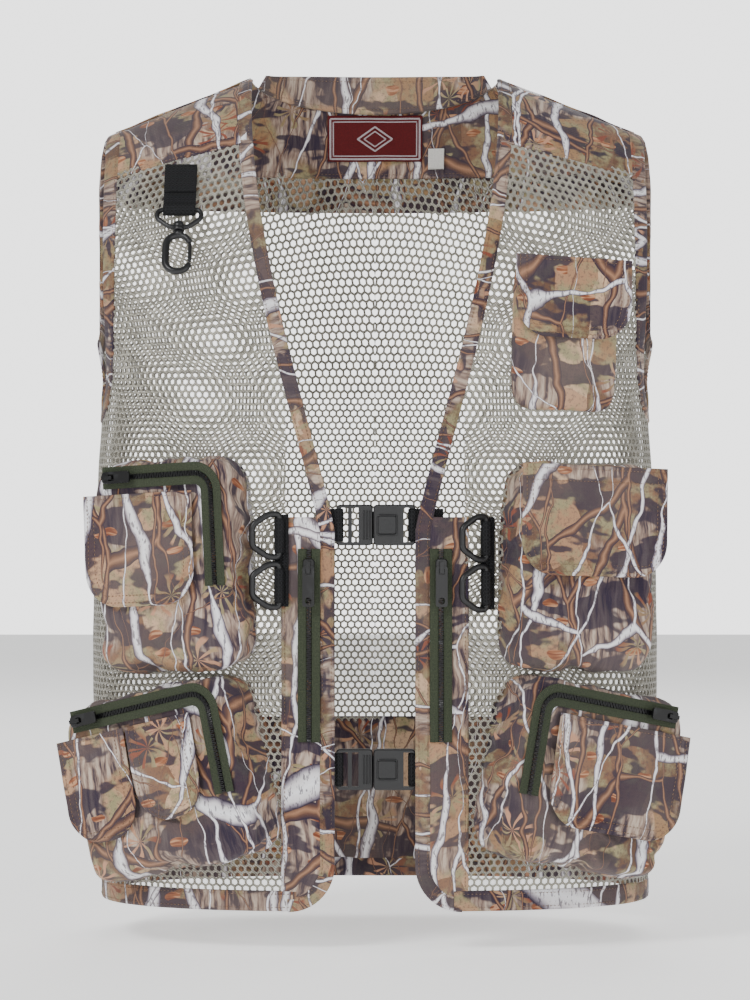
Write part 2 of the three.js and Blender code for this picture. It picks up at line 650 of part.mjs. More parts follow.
// A ring hangs from its bar, which is its local z axis, and points to local -x.
function makeRing(parent, name, z) {
  const { tall, deep, bar, thick, slopes, shoulder } = RING;
  const half = tall / 2;
  const outline = (inset) => [
    [bar / 2 - inset, half - inset],
    [bar / 2 - inset, inset - half],
    [inset * 1.1 - deep * shoulder, inset - half],
    [inset * 1.2 - deep, slopes - half + inset * 0.4],
    [inset * 1.2 - deep, half - slopes - inset * 0.4],
    [inset * 1.1 - deep * shoulder, half - inset],
  ];
  const toPath = (points) => points.map(([x, y]) => new THREE.Vector2(x, y));
  const shape = new THREE.Shape(toPath(outline(0)));
  shape.holes.push(new THREE.Path(toPath(outline(bar).reverse())));
  const ring = add(parent, name, plate(shape, thick / 2, thick), PLASTIC);
  ring.position.z = z;
  ring.rotation.z = RING_TILT;
}

// Two rings on one webbing, whose sleeves hold the bars. x is the place of the bars.
function makeRingPair(name, x, z) {
  const frame = frontFrame(x - RING.deep, x, z, 0);
  const { tall, wide, room, tail, strap, margin } = RING_SLEEVE;
  const place = new THREE.Group();
  place.position.set(frame.chord / 2, -CLOTH - GAP - wide / 2, 0);
  frame.add(place);
  const bore = (RING.bar / 2) * Math.SQRT2 + room;
  const end = (RING_PITCH + tall) / 2 + margin;
  const backing = box(-wide / 2, wide / 2 + tail, wide / 2 - strap, wide / 2, -end, end);
  const centres = [-RING_PITCH / 2, RING_PITCH / 2];
  const sleeve = (z0) => box(-wide / 2, wide / 2, -wide / 2, wide / 2, z0 - tall / 2, z0 + tall / 2);
  const ringRoom = (z0) => box(-bore, bore, -bore, bore, z0 - RING.tall / 2 - 1, z0 + RING.tall / 2 + 1);
  const webbing = cut(join(backing, ...centres.map(sleeve)), ...centres.map(ringRoom));
  add(place, `${name}_webbing`, webbing, WEBBING);
  makeRing(place, `${name}_lower`, centres[0]);
  makeRing(place, `${name}_upper`, centres[1]);
}

makeRingPair("ring_right", -72, 267);
makeRingPair("ring_left", 84, 265);

// ---------------------------------------------------------------- snap hook on its strap
const PIN_SIDES = 12;
const STRAP = { x: -150, top: 570, long: 42, wide: 25, thick: 1.8, tilt: 11 * DEG };
const EYE = { wide: 36, tall: 20, bar: 3.6, corner: 3, barrel: 9, barrelLong: 6.6, room: 0.2 };
const STEM = { across: 4.6, long: 8.6, sink: 1.5, headAcross: 7, headThick: 1.6 };
const HOOK = { wide: 23, tall: 40, thick: 5.4, wire: 4.6 };
const GATE = { low: -30, top: -11, wide: 3.2, thick: 3.8, room: 0.6 };

// A ring of rectangular section in the x-z plane, its outline between z0 and z1.
function slotRing(halfWide, z0, z1, radius, wire, thick) {
  const shape = roundRect(-halfWide, halfWide, z0, z1, radius);
  const holeRadius = Math.max(0.5, radius - wire);
  shape.holes.push(roundRect(wire - halfWide, halfWide - wire, z0 + wire, z1 - wire, holeRadius));
  return plate(shape, thick / 2, thick);
}

// A cylinder on the z axis, between z0 and z1.
function pin(across, z0, z1) {
  const geometry = new THREE.CylinderGeometry(across / 2, across / 2, z1 - z0, PIN_SIDES);
  return geometry.rotateX(Math.PI / 2).translate(0, 0, (z0 + z1) / 2);
}

function makeSnapHook() {
  const { x, top, long, wide, thick, tilt } = STRAP;
  const seat = frontPoint(x, top);
  const below = frontPoint(x, top - long);
  const place = new THREE.Group();
  const lift = 2 * (CLOTH + CURVE_GAP) + thick / 2;
  place.position.copy(seat).add(new THREE.Vector3(0, -lift, 0));
  place.rotation.x = -Math.atan2(seat.y - below.y, seat.z - below.z) - tilt;
  vest.add(place);

  // The strap hangs down its local -z, and its lower end is a sleeve round the eye's square bar.
  const bore = (EYE.bar / 2) * Math.SQRT2 + EYE.room;
  const sleeve = bore + thick;
  const tongue = box(-wide / 2, wide / 2, -thick / 2, thick / 2, -long, 0);
  const loop = box(-wide / 2, wide / 2, -sleeve, sleeve, -long - sleeve, sleeve - long);
  const hole = box(-wide, wide, -bore, bore, -long - bore, bore - long);
  add(place, "hook_strap", cut(join(tongue, loop), hole), WEBBING);

  // The eye swings on that bar, which is its local x axis. Its lower bar carries the barrel.
  const eyePlace = new THREE.Group();
  eyePlace.position.z = -long;
  place.add(eyePlace);
  const eyeRing = slotRing(EYE.wide / 2, EYE.bar / 2 - EYE.tall, EYE.bar / 2, EYE.corner, EYE.bar, EYE.bar);
  const barrelTop = EYE.bar * 1.5 - EYE.tall;
  const barrelLow = barrelTop - EYE.barrelLong;
  const barrel = pin(EYE.barrel, barrelLow, barrelTop);
  const bored = pin(STEM.across + 2 * GAP, barrelLow - STEM.long, barrelTop + STEM.long);
  add(eyePlace, "hook_eye", cut(join(eyeRing, barrel), bored), PLASTIC);

  // The hook turns in the barrel on its stem, which is its local z axis.
  const hookPlace = new THREE.Group();
  hookPlace.position.z = barrelLow;
  eyePlace.add(hookPlace);
  const stem = pin(STEM.across, -STEM.sink, STEM.long - STEM.sink);
  const headLow = EYE.barrelLong + GAP;
  const head = pin(STEM.headAcross, headLow, headLow + STEM.headThick);
  const half = HOOK.wide / 2;
  const frame = slotRing(half, -HOOK.tall - 1, -1, half - 1, HOOK.wire, HOOK.thick);
  const mouth = box(half - HOOK.wire - 1, half + 1, -HOOK.thick, HOOK.thick, GATE.low, GATE.top);
  add(hookPlace, "snap_hook", cut(join(frame, stem, head), mouth), PLASTIC);

  // The gate is hinged at its lower end and opens inwards.
  const gateLong = GATE.top - GATE.low - GATE.room;
  const bar = box(-GATE.wide / 2, GATE.wide / 2, -GATE.thick / 2, GATE.thick / 2, GATE.room, gateLong);
  const gate = add(hookPlace, "hook_gate", bar, PLASTIC);
  gate.position.set(half - HOOK.wire / 2, 0, GATE.low);
}

makeSnapHook();

// ---------------------------------------------------------------- release buckles
// face: distance of the buckle's front face from the middle of the vest. edge: rounding of its edges
const BUCKLE = { face: 125, tall: 31, thick: 10, wall: 2, corner: 3, edge: 0.8, mouthDeep: 22 };
const SOCKET = { long: 32, barCentre: 2 };
const PLUG = { long: 28, thinner: 1.6, barCentre: 2, slots: [4, 12] };
// A webbing slot is long mm, starts inset mm from the end, and its bar is thinned by relief mm on each side.
const SLOT = { long: 5, inset: 4, rail: 2.4, relief: 4.5, front: 3.2, back: 3.4, bar: 4 };
const TONGUE = { long: 20, tall: 20.5, thick: 2.4, room: 0.6 };
const BUTTON = { size: 13, inset: 4, corner: 1.2, room: 0.5, thick: 3.6, proud: 0.6 };
const WEB = { tall: 25, thick: 1.5, tuck: 14, end: 64 };
const BUCKLE_HEIGHTS = { upper: 294, lower: 108 };

// Webbing in the x-y plane: a flat tail from x0 that folds round the bar centred at x1.
function foldedWeb(x0, x1) {
  const dir = Math.sign(x0 - x1);
  const y = (SLOT.front + BUCKLE.thick - SLOT.back) / 2;
  const barThick = BUCKLE.thick - SLOT.back - SLOT.front;
  const rx = SLOT.bar / 2 + CURVE_GAP;
  const ry = barThick / 2 + GAP;
  const outerX = rx + WEB.thick;
  const outerY = ry + WEB.thick;
  const tall = WEB.tall / 2;
  const tailEnds = [x1 + dir * rx, x0].sort((a, b) => a - b);
  const fold = box(x1 - outerX, x1 + outerX, y - outerY, y + outerY, -tall, tall);
  const tail = box(...tailEnds, y - WEB.thick, y + WEB.thick, -tall, tall);
  const hole = box(x1 - rx, x1 + rx, y - ry, y + ry, -tall - 1, tall + 1);
  return cut(join(fold, tail), hole);
}

// The two cuts that thin a buckle's end between x0 and x1, so that the webbing lies within its thickness.
function reliefs(x0, x1, rails) {
  const { thick } = BUCKLE;
  const front = box(x0, x1, -2, SLOT.front, -rails, rails);
  const back = box(x0, x1, thick - SLOT.back, thick + 2, -rails, rails);
  return [front, back];
}

function makeBuckle(level, z) {
  const place = new THREE.Group();
  place.position.set(0, -BUCKLE.face, z);
  vest.add(place);
  const { tall, thick, wall, corner, edge, mouthDeep } = BUCKLE;
  const half = tall / 2;
  const rails = half - SLOT.rail;
  const right = EDGE_HALF - GAP;
  const mouth = right - SOCKET.long;

  // Socket: a shell open towards -x, with a window for the button and a bar for the webbing.
  const shell = plate(roundRect(mouth, right, -half, half, corner), thick - edge, thick - edge, edge);
  const cavityHalf = TONGUE.tall / 2 + TONGUE.room;
  const cavity = box(mouth - 1, mouth + mouthDeep, wall, thick - wall, -cavityHalf, cavityHalf);
  const buttonX = mouth + BUTTON.inset + BUTTON.size / 2;
  const reach = BUTTON.size / 2 + BUTTON.room;
  const window = box(buttonX - reach, buttonX + reach, -1, wall + 1, -reach, reach);
  const webSlot = box(right - SLOT.inset - SLOT.long, right - SLOT.inset, -2, thick + 2, -rails, rails);
  const thinned = reliefs(right - SLOT.relief, right + 1, rails);
  add(place, `buckle_${level}_socket`, cut(shell, cavity, window, webSlot, ...thinned), PLASTIC);
  add(place, `buckle_${level}_web_left`, foldedWeb(WEB.end, right - SOCKET.barCentre), WEBBING);

  // Button in the window, pressed towards +y.
  const buttonHalf = BUTTON.size / 2;
  const button = roundRect(-buttonHalf, buttonHalf, -buttonHalf, buttonHalf, BUTTON.corner);
  const cap = plate(button, BUTTON.thick - BUTTON.proud, BUTTON.thick);
  add(place, `buckle_${level}_button`, cap, PLASTIC).position.x = buttonX;

  // Plug: a plate with two webbing slots and a tongue at the bottom of the cavity.
  const plugRight = mouth - GAP;
  const plugLeft = plugRight - PLUG.long;
  const plugFace = thick - PLUG.thinner;
  const outline = roundRect(plugLeft, plugRight, -half, half, corner);
  const body = plate(outline, plugFace, plugFace - PLUG.thinner, edge);
  const tongueFace = thick - wall - GAP;
  const tongueHalf = TONGUE.tall / 2;
  const tongueEnd = plugRight + TONGUE.long;
  const tongueBack = tongueFace - TONGUE.thick;
  const tongue = box(plugRight - 1, tongueEnd, tongueBack, tongueFace, -tongueHalf, tongueHalf);
  const slots = PLUG.slots.map((x) =>
    box(plugLeft + x, plugLeft + x + SLOT.long, -2, thick + 2, -rails, rails),
  );
  const ends = reliefs(plugLeft - 1, plugLeft + SLOT.relief, rails);
  add(place, `buckle_${level}_plug`, cut(join(body, tongue), ...slots, ...ends), PLASTIC);
  const webEnd = -EDGE_HALF - WEB.tuck;
  add(place, `buckle_${level}_web_right`, foldedWeb(webEnd, plugLeft + PLUG.barCentre), WEBBING);
}

for (const [level, z] of Object.entries(BUCKLE_HEIGHTS)) makeBuckle(level, z);

export default vest;
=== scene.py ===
"""Fishing vest: the cloth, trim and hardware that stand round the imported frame. Metres, +Z up, front -Y."""

import json
import logging
import math
from dataclasses import dataclass, field
from enum import Enum
from typing import Callable, Optional, Sequence

import bpy
import numpy as np
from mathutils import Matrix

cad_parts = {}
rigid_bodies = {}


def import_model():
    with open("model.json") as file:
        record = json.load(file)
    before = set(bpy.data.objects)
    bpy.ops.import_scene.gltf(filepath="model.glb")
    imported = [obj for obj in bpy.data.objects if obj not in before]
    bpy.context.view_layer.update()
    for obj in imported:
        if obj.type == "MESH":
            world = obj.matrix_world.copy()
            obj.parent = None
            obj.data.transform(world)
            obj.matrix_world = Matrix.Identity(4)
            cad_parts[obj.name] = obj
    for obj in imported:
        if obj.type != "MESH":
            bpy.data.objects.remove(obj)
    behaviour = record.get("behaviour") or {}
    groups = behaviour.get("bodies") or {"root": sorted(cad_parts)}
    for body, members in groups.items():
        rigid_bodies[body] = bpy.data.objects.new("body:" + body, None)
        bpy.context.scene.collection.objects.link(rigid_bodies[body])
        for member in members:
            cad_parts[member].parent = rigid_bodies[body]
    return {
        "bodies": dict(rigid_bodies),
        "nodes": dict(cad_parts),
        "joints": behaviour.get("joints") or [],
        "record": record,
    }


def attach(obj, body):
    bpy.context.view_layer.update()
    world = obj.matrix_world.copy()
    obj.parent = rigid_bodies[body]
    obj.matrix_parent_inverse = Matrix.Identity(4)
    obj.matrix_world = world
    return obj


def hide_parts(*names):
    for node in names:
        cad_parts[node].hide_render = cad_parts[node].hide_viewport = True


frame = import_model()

Array = np.ndarray
Piece = bpy.types.Object
Material = bpy.types.Material
Node = bpy.types.Node
Socket = bpy.types.NodeSocket
MM = 0.001
LOG = logging.getLogger("vest")


# ---- mesh helpers
def mesh_object(name: str, verts: Array, faces: Sequence[Array], uv: Optional[Array] = None,
                smooth: bool = True) -> Piece:
    """Puts whole arrays into a new mesh object at the origin.

    Args:
        name: the piece's name.
        verts: (n, 3) places in metres.
        faces: arrays of vertex numbers, each (m, 3) or (m, 4).
        uv: (n, 2) cloth coordinates in metres, one per vertex.
        smooth: whether its faces are shaded smooth.

    Returns:
        The new object, linked to the scene.
    """
    loops = np.concatenate([np.asarray(f, np.int32).ravel() for f in faces if len(f)])
    sizes = np.concatenate([np.full(len(f), np.shape(f)[1], np.int32) for f in faces if len(f)])
    mesh = bpy.data.meshes.new(name)
    mesh.vertices.add(len(verts))
    mesh.vertices.foreach_set("co", np.asarray(verts, np.float32).ravel())
    mesh.loops.add(len(loops))
    mesh.loops.foreach_set("vertex_index", loops)
    mesh.polygons.add(len(sizes))
    mesh.polygons.foreach_set("loop_start", np.concatenate([[0], np.cumsum(sizes)[:-1]]).astype(np.int32))
    mesh.polygons.foreach_set("loop_total", sizes)
    mesh.update(calc_edges=True)
    if uv is not None:
        layer = mesh.uv_layers.new(name="cloth")
        layer.data.foreach_set("uv", np.asarray(uv, np.float32)[loops].ravel())
    mesh.polygons.foreach_set("use_smooth", np.full(len(sizes), smooth))
    mesh.validate()
    obj = bpy.data.objects.new(name, mesh)
    bpy.context.scene.collection.objects.link(obj)
    return obj


def grid_faces(rows: int, columns: int, wrap: bool = False) -> Array:
    """Quads of a grid of rows by columns whose vertices run column first."""
    wide = columns if wrap else columns - 1
    i, j = np.meshgrid(np.arange(wide), np.arange(rows - 1))
    a = j * columns + i
    b = j * columns + (i + 1) % columns
    return np.stack([a, b, b + columns, a + columns], -1).reshape(-1, 4)


def closing_quads(rows: int, sides: int) -> Array:
    """Quads that join the last ring of a tube to its first."""
    last, first = (rows - 1) * sides + np.arange(sides), np.arange(sides)
    return np.stack([last, np.roll(last, -1), np.roll(first, -1), first], -1)


def unit(vectors: Array) -> Array:
    """The vectors brought to length 1 along the last axis."""
    return vectors / np.maximum(np.linalg.norm(vectors, axis=-1, keepdims=True), 1e-12)


def run_lengths(path: Array) -> Array:
    """The length from a path's start to each of its places."""
    return np.concatenate([[0], np.cumsum(np.linalg.norm(np.diff(path, axis=0), axis=1))])


def sampled(path: Array, far: Array, at: Array) -> Array:
    """The places of a path at some lengths from its start, given the length far at each of its rows."""
    return np.stack([np.interp(at, far, column) for column in path.T], 1)


def columns_of(x: Array | float, y: Array | float, z: Array | float) -> Array:
    """(n, 3) places from three columns, where a number stands for a level column."""
    return np.stack(np.broadcast_arrays(x, y, z), 1)


def cloth_uv(points: Array, shift: tuple[float, float] = (0.0, 0.0)) -> Array:
    """Cloth coordinates of a grid: the length along its rows and along its columns, in metres."""
    across = np.linalg.norm(np.diff(points, axis=1), axis=-1)
    up = np.linalg.norm(np.diff(points, axis=0), axis=-1)
    u = np.concatenate([np.zeros((points.shape[0], 1)), np.cumsum(across, 1)], 1)
    v = np.concatenate([np.zeros((1, points.shape[1])), np.cumsum(up, 0)], 0)
    u = u - u[:, u.shape[1] // 2][:, None]
    return np.stack([u + shift[0], v + shift[1]], -1)


def two_ply(name: str, face: Array, back: Array, uv: Array) -> Piece:
    """A closed sheet from the grids of its face and its back, joined by a rim."""
    rows, columns = face.shape[:2]
    count = rows * columns
    number = np.arange(count).reshape(rows, columns)
    ring = np.concatenate([number[0, :], number[1:, -1], number[-1, -2::-1], number[-2:0:-1, 0]])
    after = np.roll(ring, -1)
    rim = np.stack([ring, ring + count, after + count, after], -1)
    front = grid_faces(rows, columns)
    verts = np.concatenate([face.reshape(-1, 3), back.reshape(-1, 3)])
    both = np.concatenate([uv.reshape(-1, 2)] * 2)
    return mesh_object(name, verts, [front, front[:, ::-1] + count, rim], both)


def shell(name: str, points: Array, inner: float, outer: float, uv: Array, normals: Array) -> Piece:
    """A closed sheet: the grid moved to two offsets along its normals, joined by a rim.

    Args:
        name: the piece's name.
        points: (rows, columns, 3) places of the sheet.
        inner: offset of its back, in metres.
        outer: offset of its face, in metres.
        uv: (rows, columns, 2) cloth coordinates.
        normals: (rows, columns, 3) directions of its thickness.

    Returns:
        The new object.
    """
    return two_ply(name, points + normals * outer, points + normals * inner, uv)


def tube(path: Array, radius: float | Array, sides: int, closed: bool = False) -> tuple[Array, Array]:
    """A tube along a path in an x-z plane, whose ends are flat and drawn in to a point.

    Args:
        path: (n, 3) places of its middle line.
        radius: one radius, or one for each place.
        sides: corners of its section.
        closed: whether the path's end meets its start.

    Returns:
        Its vertices and its quads.
    """
    along = unit(np.roll(path, -1, 0) - np.roll(path, 1, 0) if closed else np.gradient(path, axis=0))
    side = unit(np.cross(along, [0.0, 1.0, 0.0]))
    lift = np.cross(side, along)
    angle = np.arange(sides) * 2 * math.pi / sides
    size = np.broadcast_to(np.asarray(radius, float), (len(path),)).copy()
    if not closed:
        path, side, lift = (np.concatenate([rows[:1], rows, rows[-1:]]) for rows in (path, side, lift))
        size = np.concatenate([[1e-6], size, [1e-6]])
    ring = side[:, None] * np.cos(angle)[None, :, None] + lift[:, None] * np.sin(angle)[None, :, None]
    verts = (path[:, None] + ring * size[:, None, None]).reshape(-1, 3)
    faces = grid_faces(len(path), sides, wrap=True)
    if closed:
        faces = np.concatenate([faces, closing_quads(len(path), sides)])
    return verts, faces[:, ::-1]


def merge_parts(parts: Sequence[tuple[Array, Array]]) -> tuple[Array, list[Array]]:
    """Joins (vertices, faces) pairs into one vertex array and a list of face arrays."""
    verts, faces, start = [], [], 0
    for points, polygons in parts:
        verts.append(points)
        faces.append(np.asarray(polygons) + start)
        start += len(points)
    return np.concatenate(verts), faces


def smooth_noise(points: Array, scale: float, seed: int, waves: int = 9) -> Array:
    """Smooth noise from -1 to 1: a mean of plane sine waves of about the given length, in random directions."""
    rng = np.random.default_rng(seed)
    total = np.zeros(points.shape[:-1])
    for _ in range(waves):
        way = rng.normal(size=points.shape[-1])
        way *= 2 * math.pi / (scale * rng.uniform(0.6, 1.6) * np.linalg.norm(way))
        total += np.sin(points @ way + rng.uniform(0, 2 * math.pi))
    return total / math.sqrt(waves) * 0.9


def smoothstep(x: Array) -> Array:
    """0 below 0, 1 above 1 and a smooth rise between."""
    x = np.clip(x, 0.0, 1.0)
    return x * x * (3 - 2 * x)


# ---- node helpers
def linear(value: str) -> tuple[float, ...]:
    """An sRGB hex colour such as a9805f as a linear RGBA tuple."""
    rgb = [int(value[i:i + 2], 16) / 255 for i in (0, 2, 4)]
    return (*(c / 12.92 if c <= 0.04045 else ((c + 0.055) / 1.055) ** 2.4 for c in rgb), 1.0)


def add_node(tree: bpy.types.NodeTree, kind: str, inputs: Optional[dict] = None, **settings: object) -> Node:
    """Adds a node, sets its properties, and fills or links its inputs.

    Args:
        tree: the node tree.
        kind: the node's type name without its ShaderNode prefix.
        inputs: input name or number to a value or an output socket.
        settings: the node's own properties.

    Returns:
        The node.
    """
    node = tree.nodes.new("ShaderNode" + kind)
    for key, value in settings.items():
        setattr(node, key, value)
    for key, value in (inputs or {}).items():
        socket = node.inputs[key]
        if isinstance(value, Socket):
            tree.links.new(value, socket)
        else:
            socket.default_value = value
    return node


def new_material(name: str) -> tuple[Material, "Weaver", Node]:
    """A new node material with only a Principled BSDF and its output, and the helper for its tree."""
    material = bpy.data.materials.new(name)
    material.use_nodes = True
    tree = material.node_tree
    return material, Weaver(tree), tree.nodes["Principled BSDF"]


class Weaver:
    """Short calls for building one material's pattern out of nodes."""

    def __init__(self, tree: bpy.types.NodeTree) -> None:
        """Keeps the tree that the nodes go into."""
        self.tree = tree

    def math(self, operation: str, *values: object) -> Socket:
        """The result of a Math node on values or sockets."""
        return add_node(self.tree, "Math", dict(enumerate(values)), operation=operation).outputs[0]

    def vector(self, operation: str, *values: object) -> Socket:
        """The first output of a Vector Math node on values or sockets."""
        return add_node(self.tree, "VectorMath", dict(enumerate(values)), operation=operation).outputs[0]

    def shaken(self, at: Socket, scale: float, detail: float, far: float) -> Socket:
        """A place moved by noise, at most half of far in metres along each axis."""
        colour = self.noise(at, scale, detail).outputs["Color"]
        push = self.vector("SCALE", self.vector("SUBTRACT", colour, (0.5, 0.5, 0.5)))
        push.node.inputs["Scale"].default_value = far
        return self.vector("ADD", at, push)

    def cloth_place(self) -> Socket:
        """The place on the piece's own cloth coordinates, in metres."""
        return add_node(self.tree, "UVMap", uv_map="cloth").outputs["UV"]

    def solid_place(self) -> Socket:
        """The place in the piece's object space, in metres."""
        return add_node(self.tree, "TexCoord").outputs["Object"]

    def channel(self, colour: Socket, number: int) -> Socket:
        """One of a colour's red, green and blue, by number."""
        return add_node(self.tree, "SeparateColor", {0: colour}).outputs[number]

    def noise(self, at: Socket, scale: float, detail: float = 2.0, rough: float = 0.5) -> Node:
        """A noise texture read at a place on the cloth."""
        sockets = {"Vector": at, "Scale": scale, "Detail": detail, "Roughness": rough}
        return add_node(self.tree, "TexNoise", sockets, noise_dimensions="2D")

    def cells(self, at: Socket, scale: float, feature: str = "F1") -> Node:
        """A Voronoi texture read at a place on the cloth."""
        sockets = {"Vector": at, "Scale": scale}
        return add_node(self.tree, "TexVoronoi", sockets, feature=feature, voronoi_dimensions="2D")

    def grain(self, at: Socket, scale: float, detail: float) -> Socket:
        """Noise through a solid piece, read at a place on its object."""
        return add_node(self.tree, "TexNoise", {"Vector": at, "Scale": scale, "Detail": detail}).outputs["Fac"]

    def raise_by(self, shader: Node, height: Socket, strength: float, distance: float) -> None:
        """Gives a shader the bumps of a height, whose full size is a distance in metres."""
        bump = add_node(self.tree, "Bump", {"Height": height, "Strength": strength, "Distance": distance})
        self.tree.links.new(bump.outputs[0], shader.inputs["Normal"])

    def ramp(self, value: object, stops: Sequence[tuple[float, str]], mode: str = "LINEAR") -> Socket:
        """A colour ramp over (place, hex colour) stops."""
        node = add_node(self.tree, "ValToRGB", {0: value})
        node.color_ramp.interpolation = mode
        elements = node.color_ramp.elements
        while len(elements) < len(stops):
            elements.new(0.5)
        for element, (place, colour) in zip(elements, stops):
            element.position = place
            element.color = linear(colour)
        return node.outputs["Color"]

    def fade(self, value: object, low: float, high: float) -> Socket:
        """0 at low and 1 at high, or the other way round, with a smooth step between."""
        sockets = {"Value": value, "From Min": low, "From Max": high}
        return add_node(self.tree, "MapRange", sockets, interpolation_type="SMOOTHSTEP").outputs[0]

    def blend(self, share: object, below: object, above: object) -> Socket:
        """Mixes two colours by a share."""
        return add_node(self.tree, "Mix", {0: share, 6: below, 7: above}, data_type="RGBA").outputs[2]

    def stretch(self, at: Socket, turn: float, size: tuple[float, float]) -> Socket:
        """A place turned by degrees and then scaled along its two axes."""
        sockets = {"Vector": at, "Rotation": (0, 0, math.radians(turn)), "Scale": (size[0], size[1], 1)}
        return add_node(self.tree, "Mapping", sockets, vector_type="POINT").outputs[0]


# ---- finishes
@dataclass(frozen=True)
class Camouflage:
    """Printed polyester canvas, 1.6 mm doubled: matt, with a fine plain weave and a woodland print.

    The print is layered as such prints are: soft patches of ground colour, streaked bark, dark shadow,
    then birch branches, twigs, needles and leaves drawn over them. Scales come from the branches, which
    are 5 to 11 mm wide, and from needles about 1.5 mm wide. The weave is drawn at 1.1 mm, coarser than
    the real thread, so that it shows.
    """

    name: str = "camo_canvas"
    ground: tuple[str, ...] = ("5d4233", "a07a5c", "775540", "c3a283", "92704f", "b08a6c", "6b4f3c")
    bark: tuple[str, str] = ("3b2f38", "b7a595")
    shadow: str = "2a2133"
    birch: str = "f0f0f4"
    rust: str = "8d5638"
    needle: str = "7d4232"
    lichen: str = "8d8562"
    darker: float = 0.0

    def branches(self, w: Weaver, at: Socket, turn: float, size: tuple[float, float],
                 width: float, seed: float) -> Socket:
        """Distance from the middle of long branches, 0 in the middle and 1 at their edge.

        The branches are the edges of cells that are stretched along one direction and bent by noise.

        Args:
            w: the node helper.
            at: the cloth place.
            turn: direction of the branches, in degrees.
            size: cells per metre across and along the branches.
            width: half their width in metres.
            seed: shift of the pattern, in metres.

        Returns:
            The distance as a socket.
        """
        moved = w.vector("ADD", at, (seed, seed * 0.7, 0))
        placed = w.stretch(w.shaken(moved, 26.0, 2.0, 0.014), turn, size)
        edge = w.cells(placed, 1.0, "DISTANCE_TO_EDGE").outputs["Distance"]
        taper = w.noise(moved, 9.0, 0.0).outputs["Fac"]
        reach = w.math("MULTIPLY", w.fade(taper, 0.32, 0.66), width * max(size))
        return w.math("DIVIDE", edge, w.math("ADD", reach, 0.004))

    def build(self) -> Material:
        """Makes the material, whose pattern follows each piece's own cloth coordinates."""
        material, w, shader = new_material(self.name)
        uv = w.cloth_place()
        at = w.shaken(uv, 16.0, 3.0, 0.016)

        patches = w.cells(w.stretch(at, 28, (1.0, 0.45)), 34.0).outputs["Color"]
        pick = w.channel(patches, 0)
        steps = [(i / len(self.ground), c) for i, c in enumerate(self.ground)]
        colour = w.ramp(pick, steps, "CONSTANT")
        cloud = w.noise(uv, 60.0, 4.0, 0.6).outputs["Fac"]
        colour = w.blend(w.fade(cloud, 0.42, 0.7), colour, linear(self.lichen))
        dots = w.noise(uv, 330.0, 2.0, 0.7).outputs["Fac"]
        colour = w.blend(w.math("MULTIPLY", w.fade(dots, 0.5, 0.7), 0.45), colour, linear(self.bark[0]))

        bark_zone = w.fade(w.noise(w.vector("ADD", uv, (0.4, 0.1, 0)), 13.0, 1.0).outputs["Fac"], 0.5, 0.56)
        streak = w.noise(w.stretch(at, 24, (230.0, 34.0)), 1.0, 3.0, 0.6).outputs["Fac"]
        bark = w.ramp(streak, [(0.36, self.bark[0]), (0.5, "8a7468"), (0.66, self.bark[1])])
        colour = w.blend(bark_zone, colour, bark)

        shade = w.fade(w.noise(w.stretch(at, -28, (15.0, 34.0)), 1.0, 3.0, 0.6).outputs["Fac"], 0.49, 0.54)
        colour = w.blend(w.math("MULTIPLY", shade, 0.9), colour, linear(self.shadow))

        leaf_at = w.stretch(at, 35, (52.0, 100.0))
        leaf = w.cells(leaf_at, 1.0)
        leaf_on = w.math("LESS_THAN", w.channel(leaf.outputs["Color"], 1), 0.09)
        body = w.math("MULTIPLY", w.fade(leaf.outputs["Distance"], 0.36, 0.32), leaf_on)
        vein = w.noise(w.stretch(at, 35, (60.0, 420.0)), 1.0, 1.0).outputs["Fac"]
        colour = w.blend(body, colour, w.ramp(vein, [(0.35, "6d3a28"), (0.5, self.rust), (0.65, "b98a68")]))

        tuft = w.cells(uv, 24.0)
        spot = add_node(w.tree, "SeparateXYZ", {0: w.vector("SUBTRACT", uv, tuft.outputs["Position"])})
        angle = w.math("ARCTAN2", spot.outputs[1], spot.outputs[0])
        gap = w.vector("DISTANCE", uv, tuft.outputs["Position"]).node.outputs["Value"]
        radius = w.math("DIVIDE", gap, 0.019)
        spin = w.math("MULTIPLY", angle, 4.2)
        wobble = w.math("MULTIPLY", w.noise(uv, 45.0, 1.0).outputs["Fac"], 5.0)
        blades = w.fade(w.math("ABSOLUTE", w.math("SINE", w.math("ADD", spin, wobble))), 0.80, 0.93)
        chosen = w.math("LESS_THAN", w.channel(tuft.outputs["Color"], 2), 0.42)
        blades = w.math("MULTIPLY", w.math("MULTIPLY", blades, w.fade(radius, 1.0, 0.8)), chosen)
        tone = w.ramp(w.noise(uv, 20.0).outputs["Fac"], [(0.4, self.needle), (0.55, self.lichen), (0.62, "b5866a")])
        colour = w.blend(blades, colour, tone)

        branch_sets = [(66.0, (15.0, 5.5), 0.0024, 6.4, False), (-20.0, (19.0, 7.0), 0.0013, 9.2, False),
                       (34.0, (7.6, 2.2), 0.0036, 0.0, True), (-55.0, (6.4, 2.0), 0.0022, 3.1, True),
                       (12.0, (15.0, 4.4), 0.0009, 12.7, True)]
        grain = w.noise(w.stretch(uv, 34, (420.0, 120.0)), 1.0, 2.0, 0.7).outputs["Fac"]
        for turn, size, width, seed, pale in branch_sets:
            far = self.branches(w, at, turn, size, width, seed)
            if pale:
                skin = w.ramp(far, [(0.0, self.birch), (0.5, "d9d5d8"), (0.78, "8d8590"), (1.0, self.shadow)])
                knots = w.math("MULTIPLY", w.fade(grain, 0.56, 0.64), 0.75)
                skin = w.blend(knots, skin, linear("4b4350"))
            else:
                skin = w.ramp(far, [(0.0, "9c7358"), (0.5, "5c4036"), (1.0, self.shadow)])
            colour = w.blend(w.fade(far, 1.12, 1.0), colour, skin)

